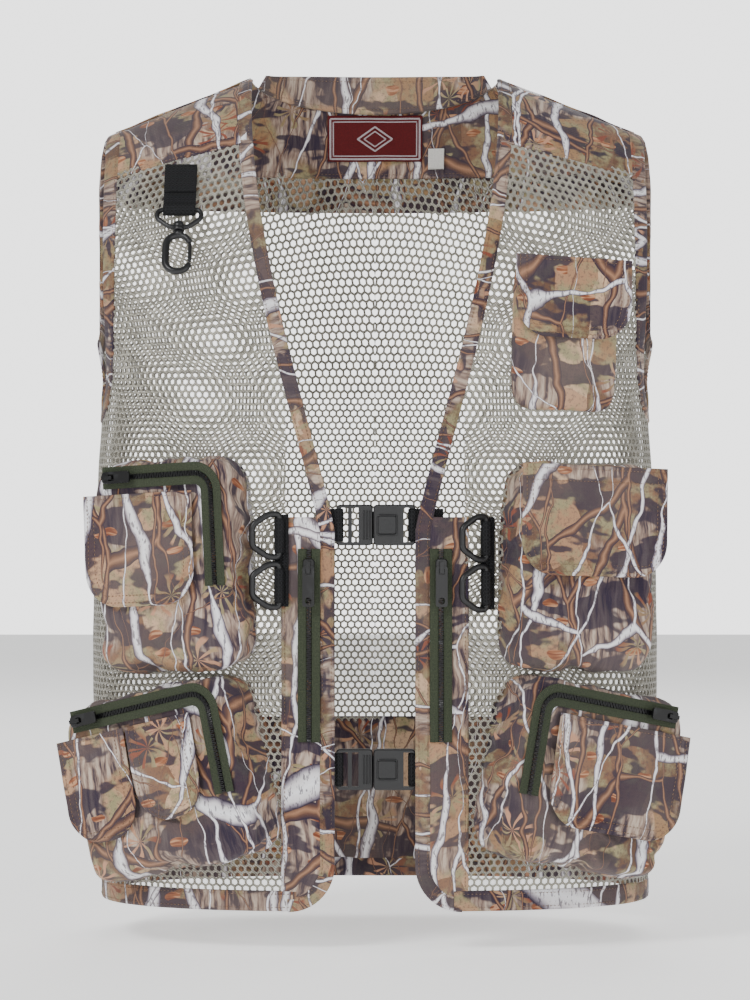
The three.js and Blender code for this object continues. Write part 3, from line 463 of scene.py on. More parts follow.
        fade = w.noise(uv, 7.0, 2.0).outputs["Fac"]
        colour = w.blend(w.math("MULTIPLY", w.fade(fade, 0.35, 0.7), 0.08), colour, linear("d9c4ae"))
        if self.darker:
            colour = w.blend(self.darker, colour, linear("1c1a22"))
        w.tree.links.new(colour, shader.inputs["Base Color"])
        shader.inputs["Roughness"].default_value = 0.86
        shader.inputs["Specular IOR Level"].default_value = 0.28
        shader.inputs["Sheen Weight"].default_value = 0.12
        shader.inputs["Sheen Roughness"].default_value = 0.5
        threads = [add_node(w.tree, "TexWave", {"Vector": uv, "Scale": 145.0, "Distortion": 0.6},
                            bands_direction=way).outputs["Fac"] for way in ("X", "Y")]
        weave = w.math("MULTIPLY", *threads)
        crumple = w.noise(uv, 45.0, 3.0, 0.6).outputs["Fac"]
        height = w.math("ADD", w.math("MULTIPLY", weave, 0.25), w.math("MULTIPLY", crumple, 1.6))
        w.raise_by(shader, height, 0.35, 0.0012)
        return material


@dataclass(frozen=True)
class KnitMesh:
    """Polyester air mesh: smooth filament knitted in bars round open hexagons, silvery and slightly shiny."""

    name: str = "air_mesh_polyester"
    light: str = "a9a598"
    dark: str = "625f55"

    def build(self) -> Material:
        """Makes the material: filaments 0.9 mm apart, drawn in object space, over two soft greys."""
        material, w, shader = new_material(self.name)
        at = w.solid_place()
        patch = w.grain(at, 90.0, 3.0)
        strands = add_node(w.tree, "TexWave", {"Vector": at, "Scale": 330.0, "Distortion": 4.0, "Detail": 1.0},
                           bands_direction="DIAGONAL").outputs["Fac"]
        mixed = w.math("ADD", w.math("MULTIPLY", patch, 0.7), w.math("MULTIPLY", strands, 0.35))
        w.tree.links.new(w.ramp(mixed, [(0.3, self.dark), (0.75, self.light)]), shader.inputs["Base Color"])
        w.raise_by(shader, strands, 0.5, 0.0004)
        shader.inputs["Roughness"].default_value = 0.52
        shader.inputs["Sheen Weight"].default_value = 0.25
        return material


@dataclass(frozen=True)
class WovenTape:
    """Woven narrow fabric, such as polypropylene webbing or zip tape: matt, with ribs across and fine threads."""

    name: str
    colour: str
    lighter: str
    rib: float
    rough: float = 0.78
    depth: float = 0.0005

    def build(self) -> Material:
        """Makes the material: chevron ribs at the real rib spacing, on the piece's own cloth coordinates."""
        material, w, shader = new_material(self.name)
        uv = w.cloth_place()
        parts = add_node(w.tree, "SeparateXYZ", {0: uv})
        turns = 2 * math.pi / self.rib
        cross = w.math("SINE", w.math("MULTIPLY", parts.outputs[0], turns))
        along = w.math("SINE", w.math("MULTIPLY", parts.outputs[1], turns * 0.8))
        height = w.math("ADD", w.math("MULTIPLY", cross, along), w.math("MULTIPLY", cross, 0.6))
        fuzz = w.noise(uv, 900.0, 2.0).outputs["Fac"]
        share = w.math("ADD", w.math("MULTIPLY", height, 0.3), fuzz)
        w.tree.links.new(w.ramp(share, [(0.2, self.colour), (0.95, self.lighter)]), shader.inputs["Base Color"])
        w.raise_by(shader, height, 0.7, self.depth)
        shader.inputs["Roughness"].default_value = self.rough
        shader.inputs["Specular IOR Level"].default_value = 0.3
        return material


@dataclass(frozen=True)
class MouldedPlastic:
    """Injection-moulded acetal, black: satin, with a spark-eroded grain of about 0.5 mm."""

    name: str = "acetal_black"
    colour: str = "0c0c0e"
    rough: float = 0.38
    grain: float = 0.0005
    strength: float = 0.25

    def build(self) -> Material:
        """Makes the material in object space, with a little handling wear in its roughness."""
        material, w, shader = new_material(self.name)
        at = w.solid_place()
        fine = w.grain(at, 0.5 / self.grain, 2.0)
        wear = w.grain(at, 70.0, 3.0)
        w.tree.links.new(w.ramp(wear, [(0.3, self.colour), (0.85, "18191b")]), shader.inputs["Base Color"])
        rough = w.math("ADD", w.math("MULTIPLY", wear, 0.2), self.rough - 0.1)
        w.tree.links.new(rough, shader.inputs["Roughness"])
        w.raise_by(shader, fine, self.strength, 0.0002)
        return material


@dataclass(frozen=True)
class PaintedZinc:
    """Die-cast zinc zip parts, enamelled black: glossy, with worn grey edges."""

    name: str = "enamelled_zinc"
    colour: str = "0b0b0c"

    def build(self) -> Material:
        """Makes the enamel in object space, with slight orange peel."""
        material, w, shader = new_material(self.name)
        at = w.solid_place()
        wear = w.grain(at, 160.0, 4.0)
        w.tree.links.new(w.ramp(wear, [(0.55, self.colour), (0.85, "2b2c2e")]), shader.inputs["Base Color"])
        shader.inputs["Roughness"].default_value = 0.3
        shader.inputs["Metallic"].default_value = 0.15
        w.raise_by(shader, wear, 0.2, 0.0003)
        return material


@dataclass(frozen=True)
class SewingThread:
    """Twisted polyester thread, slightly shiny, one colour with small twists of tone."""

    name: str = "thread_taupe"
    colour: str = "8b6f58"

    def build(self) -> Material:
        """Makes the thread in object space, its twist drawn at 0.8 mm."""
        material, w, shader = new_material(self.name)
        at = w.solid_place()
        twist = w.grain(at, 1200.0, 1.0)
        w.tree.links.new(w.ramp(twist, [(0.3, "5b4638"), (0.6, self.colour)]), shader.inputs["Base Color"])
        shader.inputs["Roughness"].default_value = 0.55
        return material


@dataclass(frozen=True)
class Finishes:
    """Every material of the vest, made once."""

    camo: Material
    binding: Material
    mesh: Material
    webbing: Material
    tape: Material
    coil: Material
    plastic: Material
    stippled: Material
    zinc: Material
    thread: Material
    label: Material
    woven_grey: Material
    size_tag: Material

    @classmethod
    def build(cls) -> "Finishes":
        """Makes them all."""
        return cls(
            camo=Camouflage().build(),
            binding=Camouflage("camo_binding", darker=0.12).build(),
            mesh=KnitMesh().build(),
            webbing=WovenTape("polypropylene_webbing", "08080a", "1b1c1f", 2.4 * MM).build(),
            tape=WovenTape("zip_tape_olive", "262c20", "454c39", 1.0 * MM, depth=0.0002).build(),
            coil=MouldedPlastic("nylon_coil", "0a0a0b", 0.35, 0.001, 0.1).build(),
            plastic=MouldedPlastic().build(),
            stippled=MouldedPlastic("acetal_stippled", "0e0f11", 0.42, 0.0014, 0.9).build(),
            zinc=PaintedZinc().build(),
            thread=SewingThread().build(),
            label=WovenTape("damask_label_maroon", "4a0c11", "6b171b", 0.6 * MM, depth=0.0002).build(),
            woven_grey=WovenTape("damask_label_grey", "a09599", "c9bfc3", 0.6 * MM, depth=0.0002).build(),
            size_tag=WovenTape("satin_size_tag", "cfccc6", "eceae6", 0.6 * MM, 0.5, 0.0002).build(),
        )


# ---- the body's form
NECK_HALF = 97.0  # half the width of the neck, where the front edges reach the crest
NECK_HEIGHT = 646.0
SHOULDER_HALF = 205.0  # half the width over the shoulders
AXIS_NUMBER = {"x": 0, "y": 1, "z": 2}


def turned_about(axis: str, angle: float) -> Array:
    """The matrix of a turn about an axis, by the right-hand rule and in radians."""
    i, j = (AXIS_NUMBER[axis] + 1) % 3, (AXIS_NUMBER[axis] + 2) % 3
    matrix = np.eye(3)
    matrix[i, i] = matrix[j, j] = math.cos(angle)
    matrix[i, j], matrix[j, i] = -math.sin(angle), math.sin(angle)
    return matrix


@dataclass(frozen=True)
class BodyForm:
    """The closed form that every panel lies on, in mm: a squared oval that leans in to a sloping shoulder crest."""

    half_width: float = 222.0
    half_depth: float = 125.0
    power: float = 2.6
    hem_taper: float = 0.035
    chest: float = 400.0
    neck_height: float = NECK_HEIGHT
    neck_half: float = NECK_HALF
    shoulder_half: float = SHOULDER_HALF
    shoulder_slope: float = 0.4
    shoulder_room: float = 31.0
    back_fullness: float = 0.8

    def crest(self, x: Array) -> Array:
        """Height of the shoulder crest over x: two slopes that meet in a parabola behind the neck."""
        away = np.where(np.abs(x) < 60.0, x * x / 120.0 + 30.0, np.abs(x))
        return self.neck_height - (away - self.neck_half) * self.shoulder_slope

    def width(self, rise: Array) -> Array:
        """Half the width: swelling between hem and chest by a sine, then easing out to the shoulder."""
        low = self.half_width * (1 - self.hem_taper + self.hem_taper * np.sin(math.pi * (1 + rise)))
        chest = self.half_width * (1 - self.hem_taper)
        high = chest + (self.shoulder_half + self.shoulder_room - chest) * smoothstep(rise / 0.4)
        return np.where(rise < 0, low, high)

    def rise(self, x: Array, z: Array) -> Array:
        """The rise of a height: -1 at the hem, 0 at the chest, 1 on the crest."""
        above = np.arcsin(np.clip((z - self.chest) / (self.crest(x) - self.chest), -1, 1)) / (math.pi / 2)
        return np.where(z <= self.chest, z / self.chest - 1, above)

    def rise_at(self, x: float, z: float) -> float:
        """The rise of one height over one x."""
        return float(self.rise(np.array(x), np.array(z)))

    def height(self, x: Array, rise: Array) -> Array:
        """The height of a rise over x, the other way round."""
        above = self.chest + (self.crest(x) - self.chest) * np.sin(rise * math.pi / 2)
        return np.where(rise < 0, self.chest * (1 + rise), above)

    def turn(self, x: Array, rise: Array) -> Array:
        """Angle from the front's middle towards +X at which the form is x wide."""
        r = np.minimum(np.abs(x) / self.width(rise), 1.0)
        return np.sign(x) * np.arctan2(r, (1 - r ** self.power) ** (1 / self.power))

    def point(self, turn: Array, rise: Array) -> Array:
        """Places on the form, in mm: the oval by a power mean of sine and cosine, leaned in above the chest."""
        turn, rise = np.broadcast_arrays(np.asarray(turn, float), np.asarray(rise, float))
        s, c = np.sin(turn), np.cos(turn)
        k = (np.abs(s) ** self.power + np.abs(c) ** self.power) ** (-1 / self.power)
        x = self.width(rise) * s * k
        lean = np.cos(np.maximum(0, rise) * math.pi / 2)
        full = np.sign(lean) * np.abs(lean) ** self.back_fullness
        y = -self.half_depth * np.where(c > 0, lean, full) * c * k
        return np.stack([x, y, self.height(x, rise)], -1)

    def normal(self, turn: Array, rise: Array, step: float = 0.004) -> Array:
        """Outward unit normals of the form, by small steps round it and up it."""
        round_it = self.point(turn + step, rise) - self.point(turn - step, rise)
        up_it = self.point(turn, np.minimum(rise + step, 1.0)) - self.point(turn, np.minimum(rise, 1.0) - step)
        return unit(np.cross(round_it, up_it))

    def front(self, x: Array, rise: Array, back: bool = False) -> tuple[Array, Array]:
        """Places and normals over x on the front, or on the back."""
        turn = self.turn(x, rise)
        turn = math.pi - turn if back else turn
        return self.point(turn, rise), self.normal(turn, rise)

    def frame(self, x0: float, x1: float, z: float, roll: float) -> "Seat":
        """The seat of a flat piece whose back touches the front at x0 and x1, rolled by degrees."""
        ends = [self.front(np.array(x), self.rise(np.array(x), np.array(z)))[0] for x in (x0, x1)]
        way = ends[1] - ends[0]
        axes = turned_about("z", math.atan2(way[1], way[0])) @ turned_about("y", math.radians(roll))
        return Seat((ends[0] + ends[1]) / 2, axes, float(np.linalg.norm(way)))


@dataclass(frozen=True)
class Seat:
    """A local frame in mm: x across, y into the body, z up."""

    origin: Array
    axes: Array
    chord: float = 0.0

    def place(self, points: Array) -> Array:
        """Local mm to the vest's metres."""
        return (self.origin + points @ self.axes.T) * MM

    def moved(self, x: float = 0.0, y: float = 0.0, z: float = 0.0, tilt: float = 0.0) -> "Seat":
        """A seat whose origin is at a local place, turned by degrees about its z axis."""
        axes = self.axes @ turned_about("z", math.radians(tilt))
        return Seat(self.origin + self.axes @ np.array([x, y, z]), axes, self.chord)


@dataclass(frozen=True)
class Pattern:
    """Where the panels' edges lie on the form, in mm."""

    edge_half: float = 31.0
    v_start: float = 290.0
    v_bend: float = 1.1
    corner: float = 35.0
    binding: float = 11.0
    placket_half: float = 71.0
    hem_tall: float = 16.0
    armhole_bottom: float = 377.0
    armhole_rise: float = 60.0
    armhole_back: float = 218.0
    yoke_seam: float = 590.0
    yoke_slope: float = 0.24
    back_bottom: float = 550.0
    lining_bottom: float = 578.0
    band_top: float = 133.0
    neck_scoop: float = 0.37

    def edge(self, z: Array) -> Array:
        """x of the front edge: straight, with a round hem corner, and a bent V up to the neck."""
        low = self.edge_half + self.corner - np.sqrt(np.clip(self.corner ** 2 - (self.corner - z) ** 2, 0, None))
        share = np.clip((z - self.v_start) / (NECK_HEIGHT - self.v_start), 0, 1)
        high = self.edge_half + (NECK_HALF - self.edge_half) * np.sin(math.pi / 2 * share ** self.v_bend)
        return np.where(z < self.corner, low, high)

    def placket(self, z: Array) -> Array:
        """x of the placket's outer edge: straight, then running beside the V."""
        beside = np.maximum(self.placket_half, self.edge(z) + self.binding)
        return np.where(z < self.v_start, self.placket_half, beside)

    def neck_rise(self, s: Array) -> Array:
        """Rise of the back yoke's upper edge over s from -1 to 1, scooped out in a half ellipse at the neck."""
        share = np.clip(np.abs(s) * SHOULDER_HALF / NECK_HALF, 0, 1)
        return 1.0 - self.neck_scoop * np.sqrt(1 - share ** 2)

    def seam(self, x: Array) -> Array:
        """Height of the front yoke's seam over x."""
        return self.yoke_seam - (np.abs(x) - NECK_HALF) * self.yoke_slope

    def armhole(self, form: BodyForm, rise: Array, back: bool = False) -> Array:
        """Turn of the armhole's edge: the side seam, then a quarter round, then straight up to the shoulder."""
        z = form.height(np.full_like(rise, form.shoulder_half), rise)
        half = form.shoulder_half
        if back:
            half = self.armhole_back + (half - self.armhole_back) * np.maximum(0, rise) ** 4
        share = np.clip((z - self.armhole_bottom) / self.armhole_rise, 0, 1)
        reach = np.sqrt(np.clip(1 - (1 - share) ** 2, 0, None))
        turn = form.turn(form.width(rise) * (1 - reach) + half * reach, rise)
        turn = np.where(z <= self.armhole_bottom, math.pi / 2, turn)
        return math.pi - turn if back else turn


@dataclass
class Studio:
    """The camera, the pale floor and the soft lights."""

    distance: float = 2.6
    height: float = 0.313
    lens: float = 123.2
    floor_drop: float = 0.03
    ambient: float = 0.42
    backdrop: float = 2.6

    def build(self) -> None:
        """Makes the camera first, then the floor, the lights and the pale surroundings."""
        camera = bpy.data.cameras.new("camera")
        camera.lens = self.lens
        camera.sensor_width = 36
        camera.sensor_fit = "AUTO"
        eye = bpy.data.objects.new("camera", camera)
        eye.location = (0.0, -self.distance - 0.125, self.height)
        eye.rotation_euler = (math.pi / 2, 0, 0)
        bpy.context.scene.collection.objects.link(eye)
        bpy.context.scene.camera = eye
        corners = np.array([[-6, -6, 0], [6, -6, 0], [6, 6, 0], [-6, 6, 0]], float)
        corners[:, 2] = -self.floor_drop
        floor = mesh_object("floor", corners, [np.array([[0, 1, 2, 3]])])
        material, _, shader = new_material("floor_paper")
        shader.inputs["Base Color"].default_value = linear("f7f7f6")
        shader.inputs["Roughness"].default_value = 0.95
        shader.inputs["Emission Color"].default_value = linear("ffffff")
        shader.inputs["Emission Strength"].default_value = 0.7
        floor.data.materials.append(material)
        self.lamp("key", (-1.7, -2.2, 2.3), 1.1, 70)
        self.lamp("fill", (2.1, -2.2, 1.0), 1.8, 26)
        self.lamp("front", (0.2, -3.4, 0.5), 1.2, 12)
        self.lamp("back", (0.4, 2.4, 2.4), 2.0, 45)
        world = bpy.data.worlds.new("studio")
        world.use_nodes = True
        tree = world.node_tree
        seen = add_node(tree, "LightPath").outputs["Is Camera Ray"]
        strength = add_node(tree, "MapRange", {"Value": seen, "To Min": self.ambient, "To Max": self.backdrop})
        tree.nodes["Background"].inputs["Color"].default_value = linear("ffffff")
        tree.links.new(strength.outputs[0], tree.nodes["Background"].inputs["Strength"])
        bpy.context.scene.world = world

    def lamp(self, name: str, place: tuple[float, float, float], size: float, power: float) -> None:
        """Adds an area light that looks at the vest's middle."""
        data = bpy.data.lights.new(name, "AREA")
        data.size, data.energy = size, power
        lamp = bpy.data.objects.new(name, data)
        lamp.location = place
        way = np.array([0, 0, 0.33]) - np.array(place)
        tilt, heading = math.atan2(math.hypot(way[0], way[1]), -way[2]), math.atan2(way[0], -way[1]) + math.pi
        lamp.rotation_euler = (tilt, 0, heading)
        bpy.context.scene.collection.objects.link(lamp)


# ---- shared piece work
class Side(Enum):
    """The wearer's right and left, and the sign of x there."""

    RIGHT = -1
    LEFT = 1

    @property
    def word(self) -> str:
        """The side's name in piece names."""
        return self.name.lower()


def dress(obj: Piece, material: Material, slot: str, body: str, *nodes: str) -> Piece:
    """Gives a piece its material, lets it ride on a body and stand for CAD nodes."""
    obj.data.materials.append(material)
    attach(obj, body)
    if nodes:
        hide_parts(*nodes)
    LOG.info("%s: %d faces on %s", obj.name, len(obj.data.polygons), body)
    return obj


def smoothed(obj: Piece) -> None:
    """Adds a live subdivision surface with one level in both the viewport and the render."""
    modifier = obj.modifiers.new("smooth", "SUBSURF")
    modifier.levels = modifier.render_levels = 1


@dataclass
class Stitching:
    """Rows of stitches: each stitch is a small low lozenge that lies on the cloth, all rows of a body in one mesh."""

    pitch: float = 3.1
    length: float = 2.5
    width: float = 0.75
    proud: float = 0.35
    rows: dict[str, list[tuple[Array, Array]]] = field(default_factory=dict)

    def along(self, body: str, path: Array, normal: Array) -> None:
        """Adds a row along a path.

        The path is divided by its length into even pitches. Each stitch has six corners: two tips on the
        cloth, two flanks and a raised pair between them.

        Args:
            body: the body that the row rides on.
            path: (n, 3) places in metres.
            normal: (3,) or (n, 3) outward directions.
        """
        normal = np.broadcast_to(normal, path.shape)
        far = run_lengths(path)
        count = int(far[-1] / (self.pitch * MM))
        if count < 1:
            return
        at = (np.arange(count) + 0.5) * self.pitch * MM
        middle, out = sampled(path, far, at), sampled(normal, far, at)
        way = unit(sampled(path, far, at + 0.0008) - sampled(path, far, at - 0.0008))
        side = unit(np.cross(way, out))
        l, w, p = self.length / 2 * MM, self.width / 2 * MM, self.proud * MM
        sink = -0.4 * MM
        corners = [way * l + out * sink, side * w + out * sink, -way * l + out * sink, -side * w + out * sink,
                   way * l * 0.45 + out * p, -way * l * 0.45 + out * p]
        verts = (middle[:, None] + np.stack(corners, 1)).reshape(-1, 3)
        pattern = np.array([[0, 1, 4], [1, 5, 4], [1, 2, 5], [2, 3, 5], [3, 4, 5], [3, 0, 4], [0, 2, 1], [0, 3, 2]])
        faces = (np.arange(count)[:, None, None] * 6 + pattern).reshape(-1, 3)
        self.rows.setdefault(body, []).append((verts, faces))

    def build(self, finishes: Finishes) -> None:
        """Makes one mesh of thread for each body that has rows."""
        for body, parts in self.rows.items():
            verts, faces = merge_parts(parts)
            obj = mesh_object(f"stitches_{body}", verts, faces, smooth=False)
            dress(obj, finishes.thread, "binding", body)


# ---- open mesh panels
@dataclass
class MeshPanel:
    """Open knitted mesh: a honeycomb of bars laid on the form and cut clean at the panel's edges.

    Cells are pointed hexagons in staggered rows. Each has a six-sided hole, and the bars round it have a
    face, a back and the hole's walls.
    """

    form: BodyForm
    pattern: Pattern
    pitch: float = 5.8
    bar: float = 1.7
    thick: float = 0.9

    def lattice(self, name: str, low: float, high: float, inner: Callable[[Array], Array],
                outer: Callable[[Array], Array], top: Optional[Callable[[Array], Array]], mirror: bool) -> Piece:
        """Lays the cells between two turns and two rises.

        A cell's place is (u, v): u is the length along its row from the inner turn's side, v the length up
        the form. Both are read back to turn and rise from tables of arc length, and corners that fall
        outside are drawn back to the edge, which cuts the cells along it.

        Args:
            name: the piece's name.
            low: lowest rise.
            high: highest rise.
            inner: turn of the first edge at a rise.
            outer: turn of the other edge at a rise.
            top: highest z in mm at an x, if the top edge isn't level.
            mirror: whether the panel is for the wearer's right.

        Returns:
            The panel.
        """
        rises = np.linspace(low, high, 160)
        first, last = inner(rises), outer(rises)
        reference = 0.5 * (first.min() + last.max())
        v_table = run_lengths(self.form.point(np.full_like(rises, reference), rises))
        turns = np.linspace(first.min() - 0.02, last.max() + 0.02, 260)
        sheet = self.form.point(turns[None, :], rises[:, None])
        along = np.linalg.norm(np.diff(sheet, axis=1), axis=-1)
        u_table = np.concatenate([np.zeros((len(rises), 1)), np.cumsum(along, 1)], 1)
        u_table -= u_table[:, [130]]

        radius = self.pitch / math.sqrt(3)
        row_step, wide = radius * 1.5, u_table.max() - u_table.min()
        rows = int(v_table[-1] / row_step) + 2
        columns = int(wide / self.pitch) + 3
        i, j = np.meshgrid(np.arange(columns), np.arange(rows))
        cu = (i + 0.5 * (j % 2)) * self.pitch + u_table.min()
        centre = np.stack([cu.ravel(), (j * row_step).ravel()], 1)
        angle = math.pi / 6 + np.arange(6) * math.pi / 3
        spoke = np.stack([np.cos(angle), np.sin(angle)], 1)
        outer_ring = centre[:, None] + spoke * radius
        inner_ring = centre[:, None] + spoke * (radius - self.bar / math.sqrt(3))
        uv = np.concatenate([outer_ring, inner_ring], 1)

        grid_rise = np.interp(uv[..., 1], v_table, rises)
        index = np.clip((grid_rise - low) / (high - low) * (len(rises) - 1), 0, len(rises) - 1.001)
        k = index.astype(int)
        share = index - k
        flat_turn = np.empty(uv.shape[:2])
        for row in np.unique(k):
            where = k == row
            here = np.interp(uv[..., 0][where], u_table[row], turns)
            after = np.interp(uv[..., 0][where], u_table[row + 1], turns)
            flat_turn[where] = here * (1 - share[where]) + after * share[where]
        lo, hi = np.interp(grid_rise, rises, first), np.interp(grid_rise, rises, last)
        kept = (flat_turn[:, :6] > lo[:, :6]) & (flat_turn[:, :6] < hi[:, :6])
        kept &= (uv[:, :6, 1] > 0) & (uv[:, :6, 1] < v_table[-1])
        turn = np.clip(flat_turn, lo, hi)
        if top is not None:
            spot = self.form.point(turn, grid_rise)
            limit = top(spot[..., 0])
            kept &= spot[:, :6, 2] < limit[:, :6]
            grid_rise = np.minimum(grid_rise, self.form.rise(spot[..., 0], limit))
        keep = kept.any(1)
        turn, grid_rise = turn[keep], grid_rise[keep]

        points = self.form.point(turn, grid_rise)
        normal = self.form.normal(turn, grid_rise)
        points = points + normal * smooth_noise(points, 55.0, 5)[..., None] * 0.35
        half = self.thick / 2
        layers = np.stack([points + normal * (0.8 + half), points + normal * (0.8 - half)], 1)
        verts = layers.reshape(-1, 3) * MM
        base = np.arange(len(points))[:, None, None] * 24
        n = np.arange(6)
        m = (n + 1) % 6
        face = np.stack([n, m, m + 6, n + 6], -1)
        back = np.stack([n + 12, n + 18, m + 18, m + 12], -1)
        wall = np.stack([n + 6, m + 6, m + 18, n + 18], -1)
        faces = (base + np.concatenate([face, back, wall])).reshape(-1, 4)
        if mirror:
            verts = verts * [-1, 1, 1]
            faces = faces[:, ::-1]
        return mesh_object(name, verts, [faces], smooth=False)

    def build(self, finishes: Finishes) -> None:
        """Makes the two fronts and the two halves of the back."""
        form, pattern = self.form, self.pattern
        hem = form.rise_at(100.0, pattern.hem_tall - 4)
        tip = form.rise_at(150.0, 585.0)

        def inner(rise: Array) -> Array:
            """Turn of the placket's outer edge, tucked 3 mm under it."""
            x = pattern.placket(form.height(np.full_like(rise, 80.0), rise)) - 3
            return form.turn(x, rise)

        for side in Side:
            piece = self.lattice(f"front_mesh_lattice_{side.word}", hem, tip, inner,
                                 lambda rise: pattern.armhole(form, rise), lambda x: pattern.seam(x) + 4,
                                 side is Side.RIGHT)
            dress(piece, finishes.mesh, "mesh_fabric", "vest", f"front_mesh_{side.word}")
        low = form.rise_at(100.0, pattern.band_top - 4)
        high = form.rise_at(200.0, pattern.lining_bottom)
        for side in Side:
            piece = self.lattice(f"back_mesh_lattice_{side.word}", low, high,
                                 lambda rise: pattern.armhole(form, rise, back=True),
                                 lambda rise: np.full_like(rise, math.pi),
                                 lambda x: pattern.lining_bottom + 4 + 0 * x, side is Side.RIGHT)
            nodes = ["back_mesh"] if side is Side.RIGHT else []
            dress(piece, finishes.mesh, "mesh_fabric", "vest", *nodes)


# ---- cloth panels
def ribbon(name: str, path: Array, across: Array, normal: Array, reach: tuple[float, float], thick: float,
           shift: tuple[float, float] = (0.0, 0.0), closed: bool = False, mirror: bool = False,
           square: float = 0.45) -> Piece:
    """A narrow tape carried along a path: a flat loop section of power sine and cosine, closed on itself.

    Args:
        name: the piece's name.
        path: (n, 3) places in mm.
        across: (n, 3) directions of its width.
        normal: (n, 3) directions of its thickness.
        reach: where the section starts and ends across.
        thick: its thickness.
        shift: start of its cloth coordinates in metres.
        closed: whether the path ends where it starts.
        mirror: whether it is turned over to the other side of the vest.
        square: power of the section's cosine, lower for squarer edges.

    Returns:
        The tape, facing outwards.
    """
    sides = 16
    angle = np.arange(sides) * 2 * math.pi / sides
    c, s = np.cos(angle), np.sin(angle)
    flat_c = np.sign(c) * np.abs(c) ** square
    flat_s = np.sign(s) * np.abs(s) ** 0.7
    middle, half = (reach[0] + reach[1]) / 2, (reach[1] - reach[0]) / 2
    points = (path[:, None] + across[:, None] * (middle + half * flat_c)[None, :, None]
              + normal[:, None] * (thick / 2 * flat_s)[None, :, None])
    far = run_lengths(path)
    if not closed:
        ends = points[[0, -1]].mean(1, keepdims=True) + 0 * points[[0, -1]]
        points = np.concatenate([ends[:1], points, ends[1:]])
        far = np.concatenate([far[:1], far, far[-1:]])
    around = middle + half * flat_c + np.where(s < 0, 2.2 * half, 0)
    uv = np.stack(np.broadcast_arrays(far[:, None] * MM + shift[0], around[None] * MM + shift[1]), -1)
    rows = len(points)
    faces = grid_faces(rows, sides, wrap=True)
    verts = points.reshape(-1, 3) * MM
    if closed:
        faces = np.concatenate([faces[:-sides], closing_quads(rows - 1, sides)])
        verts, uv = verts[:(rows - 1) * sides], uv[:-1]
    if mirror:
        verts = verts * [-1, 1, 1]
    return outwards(mesh_object(name, verts, [faces], uv.reshape(-1, 2)))


def seat_ribbon(name: str, seat: "Seat", path: Array, across: Array, normal: Array, reach: tuple[float, float],
                thick: float, square: float = 0.2) -> Piece:
    """A ribbon whose path and directions are in a seat's local mm; one direction may stand for all."""
    across, normal = (np.broadcast_to(rows, path.shape) @ seat.axes.T for rows in (across, normal))
    return ribbon(name, seat.place(path) / MM, across, normal, reach, thick, square=square)


def cut_area(points: Array, flat: tuple[float, float]) -> float:
    """Area of a grid in mm as square metres, at most the area of the cloth it is cut from."""
    a = points[1:, 1:] - points[:-1, :-1]
    b = points[1:, :-1] - points[:-1, 1:]
    area = np.linalg.norm(np.cross(a, b), axis=-1).sum() / 2
    return float(min(area, flat[0] * flat[1])) * MM * MM


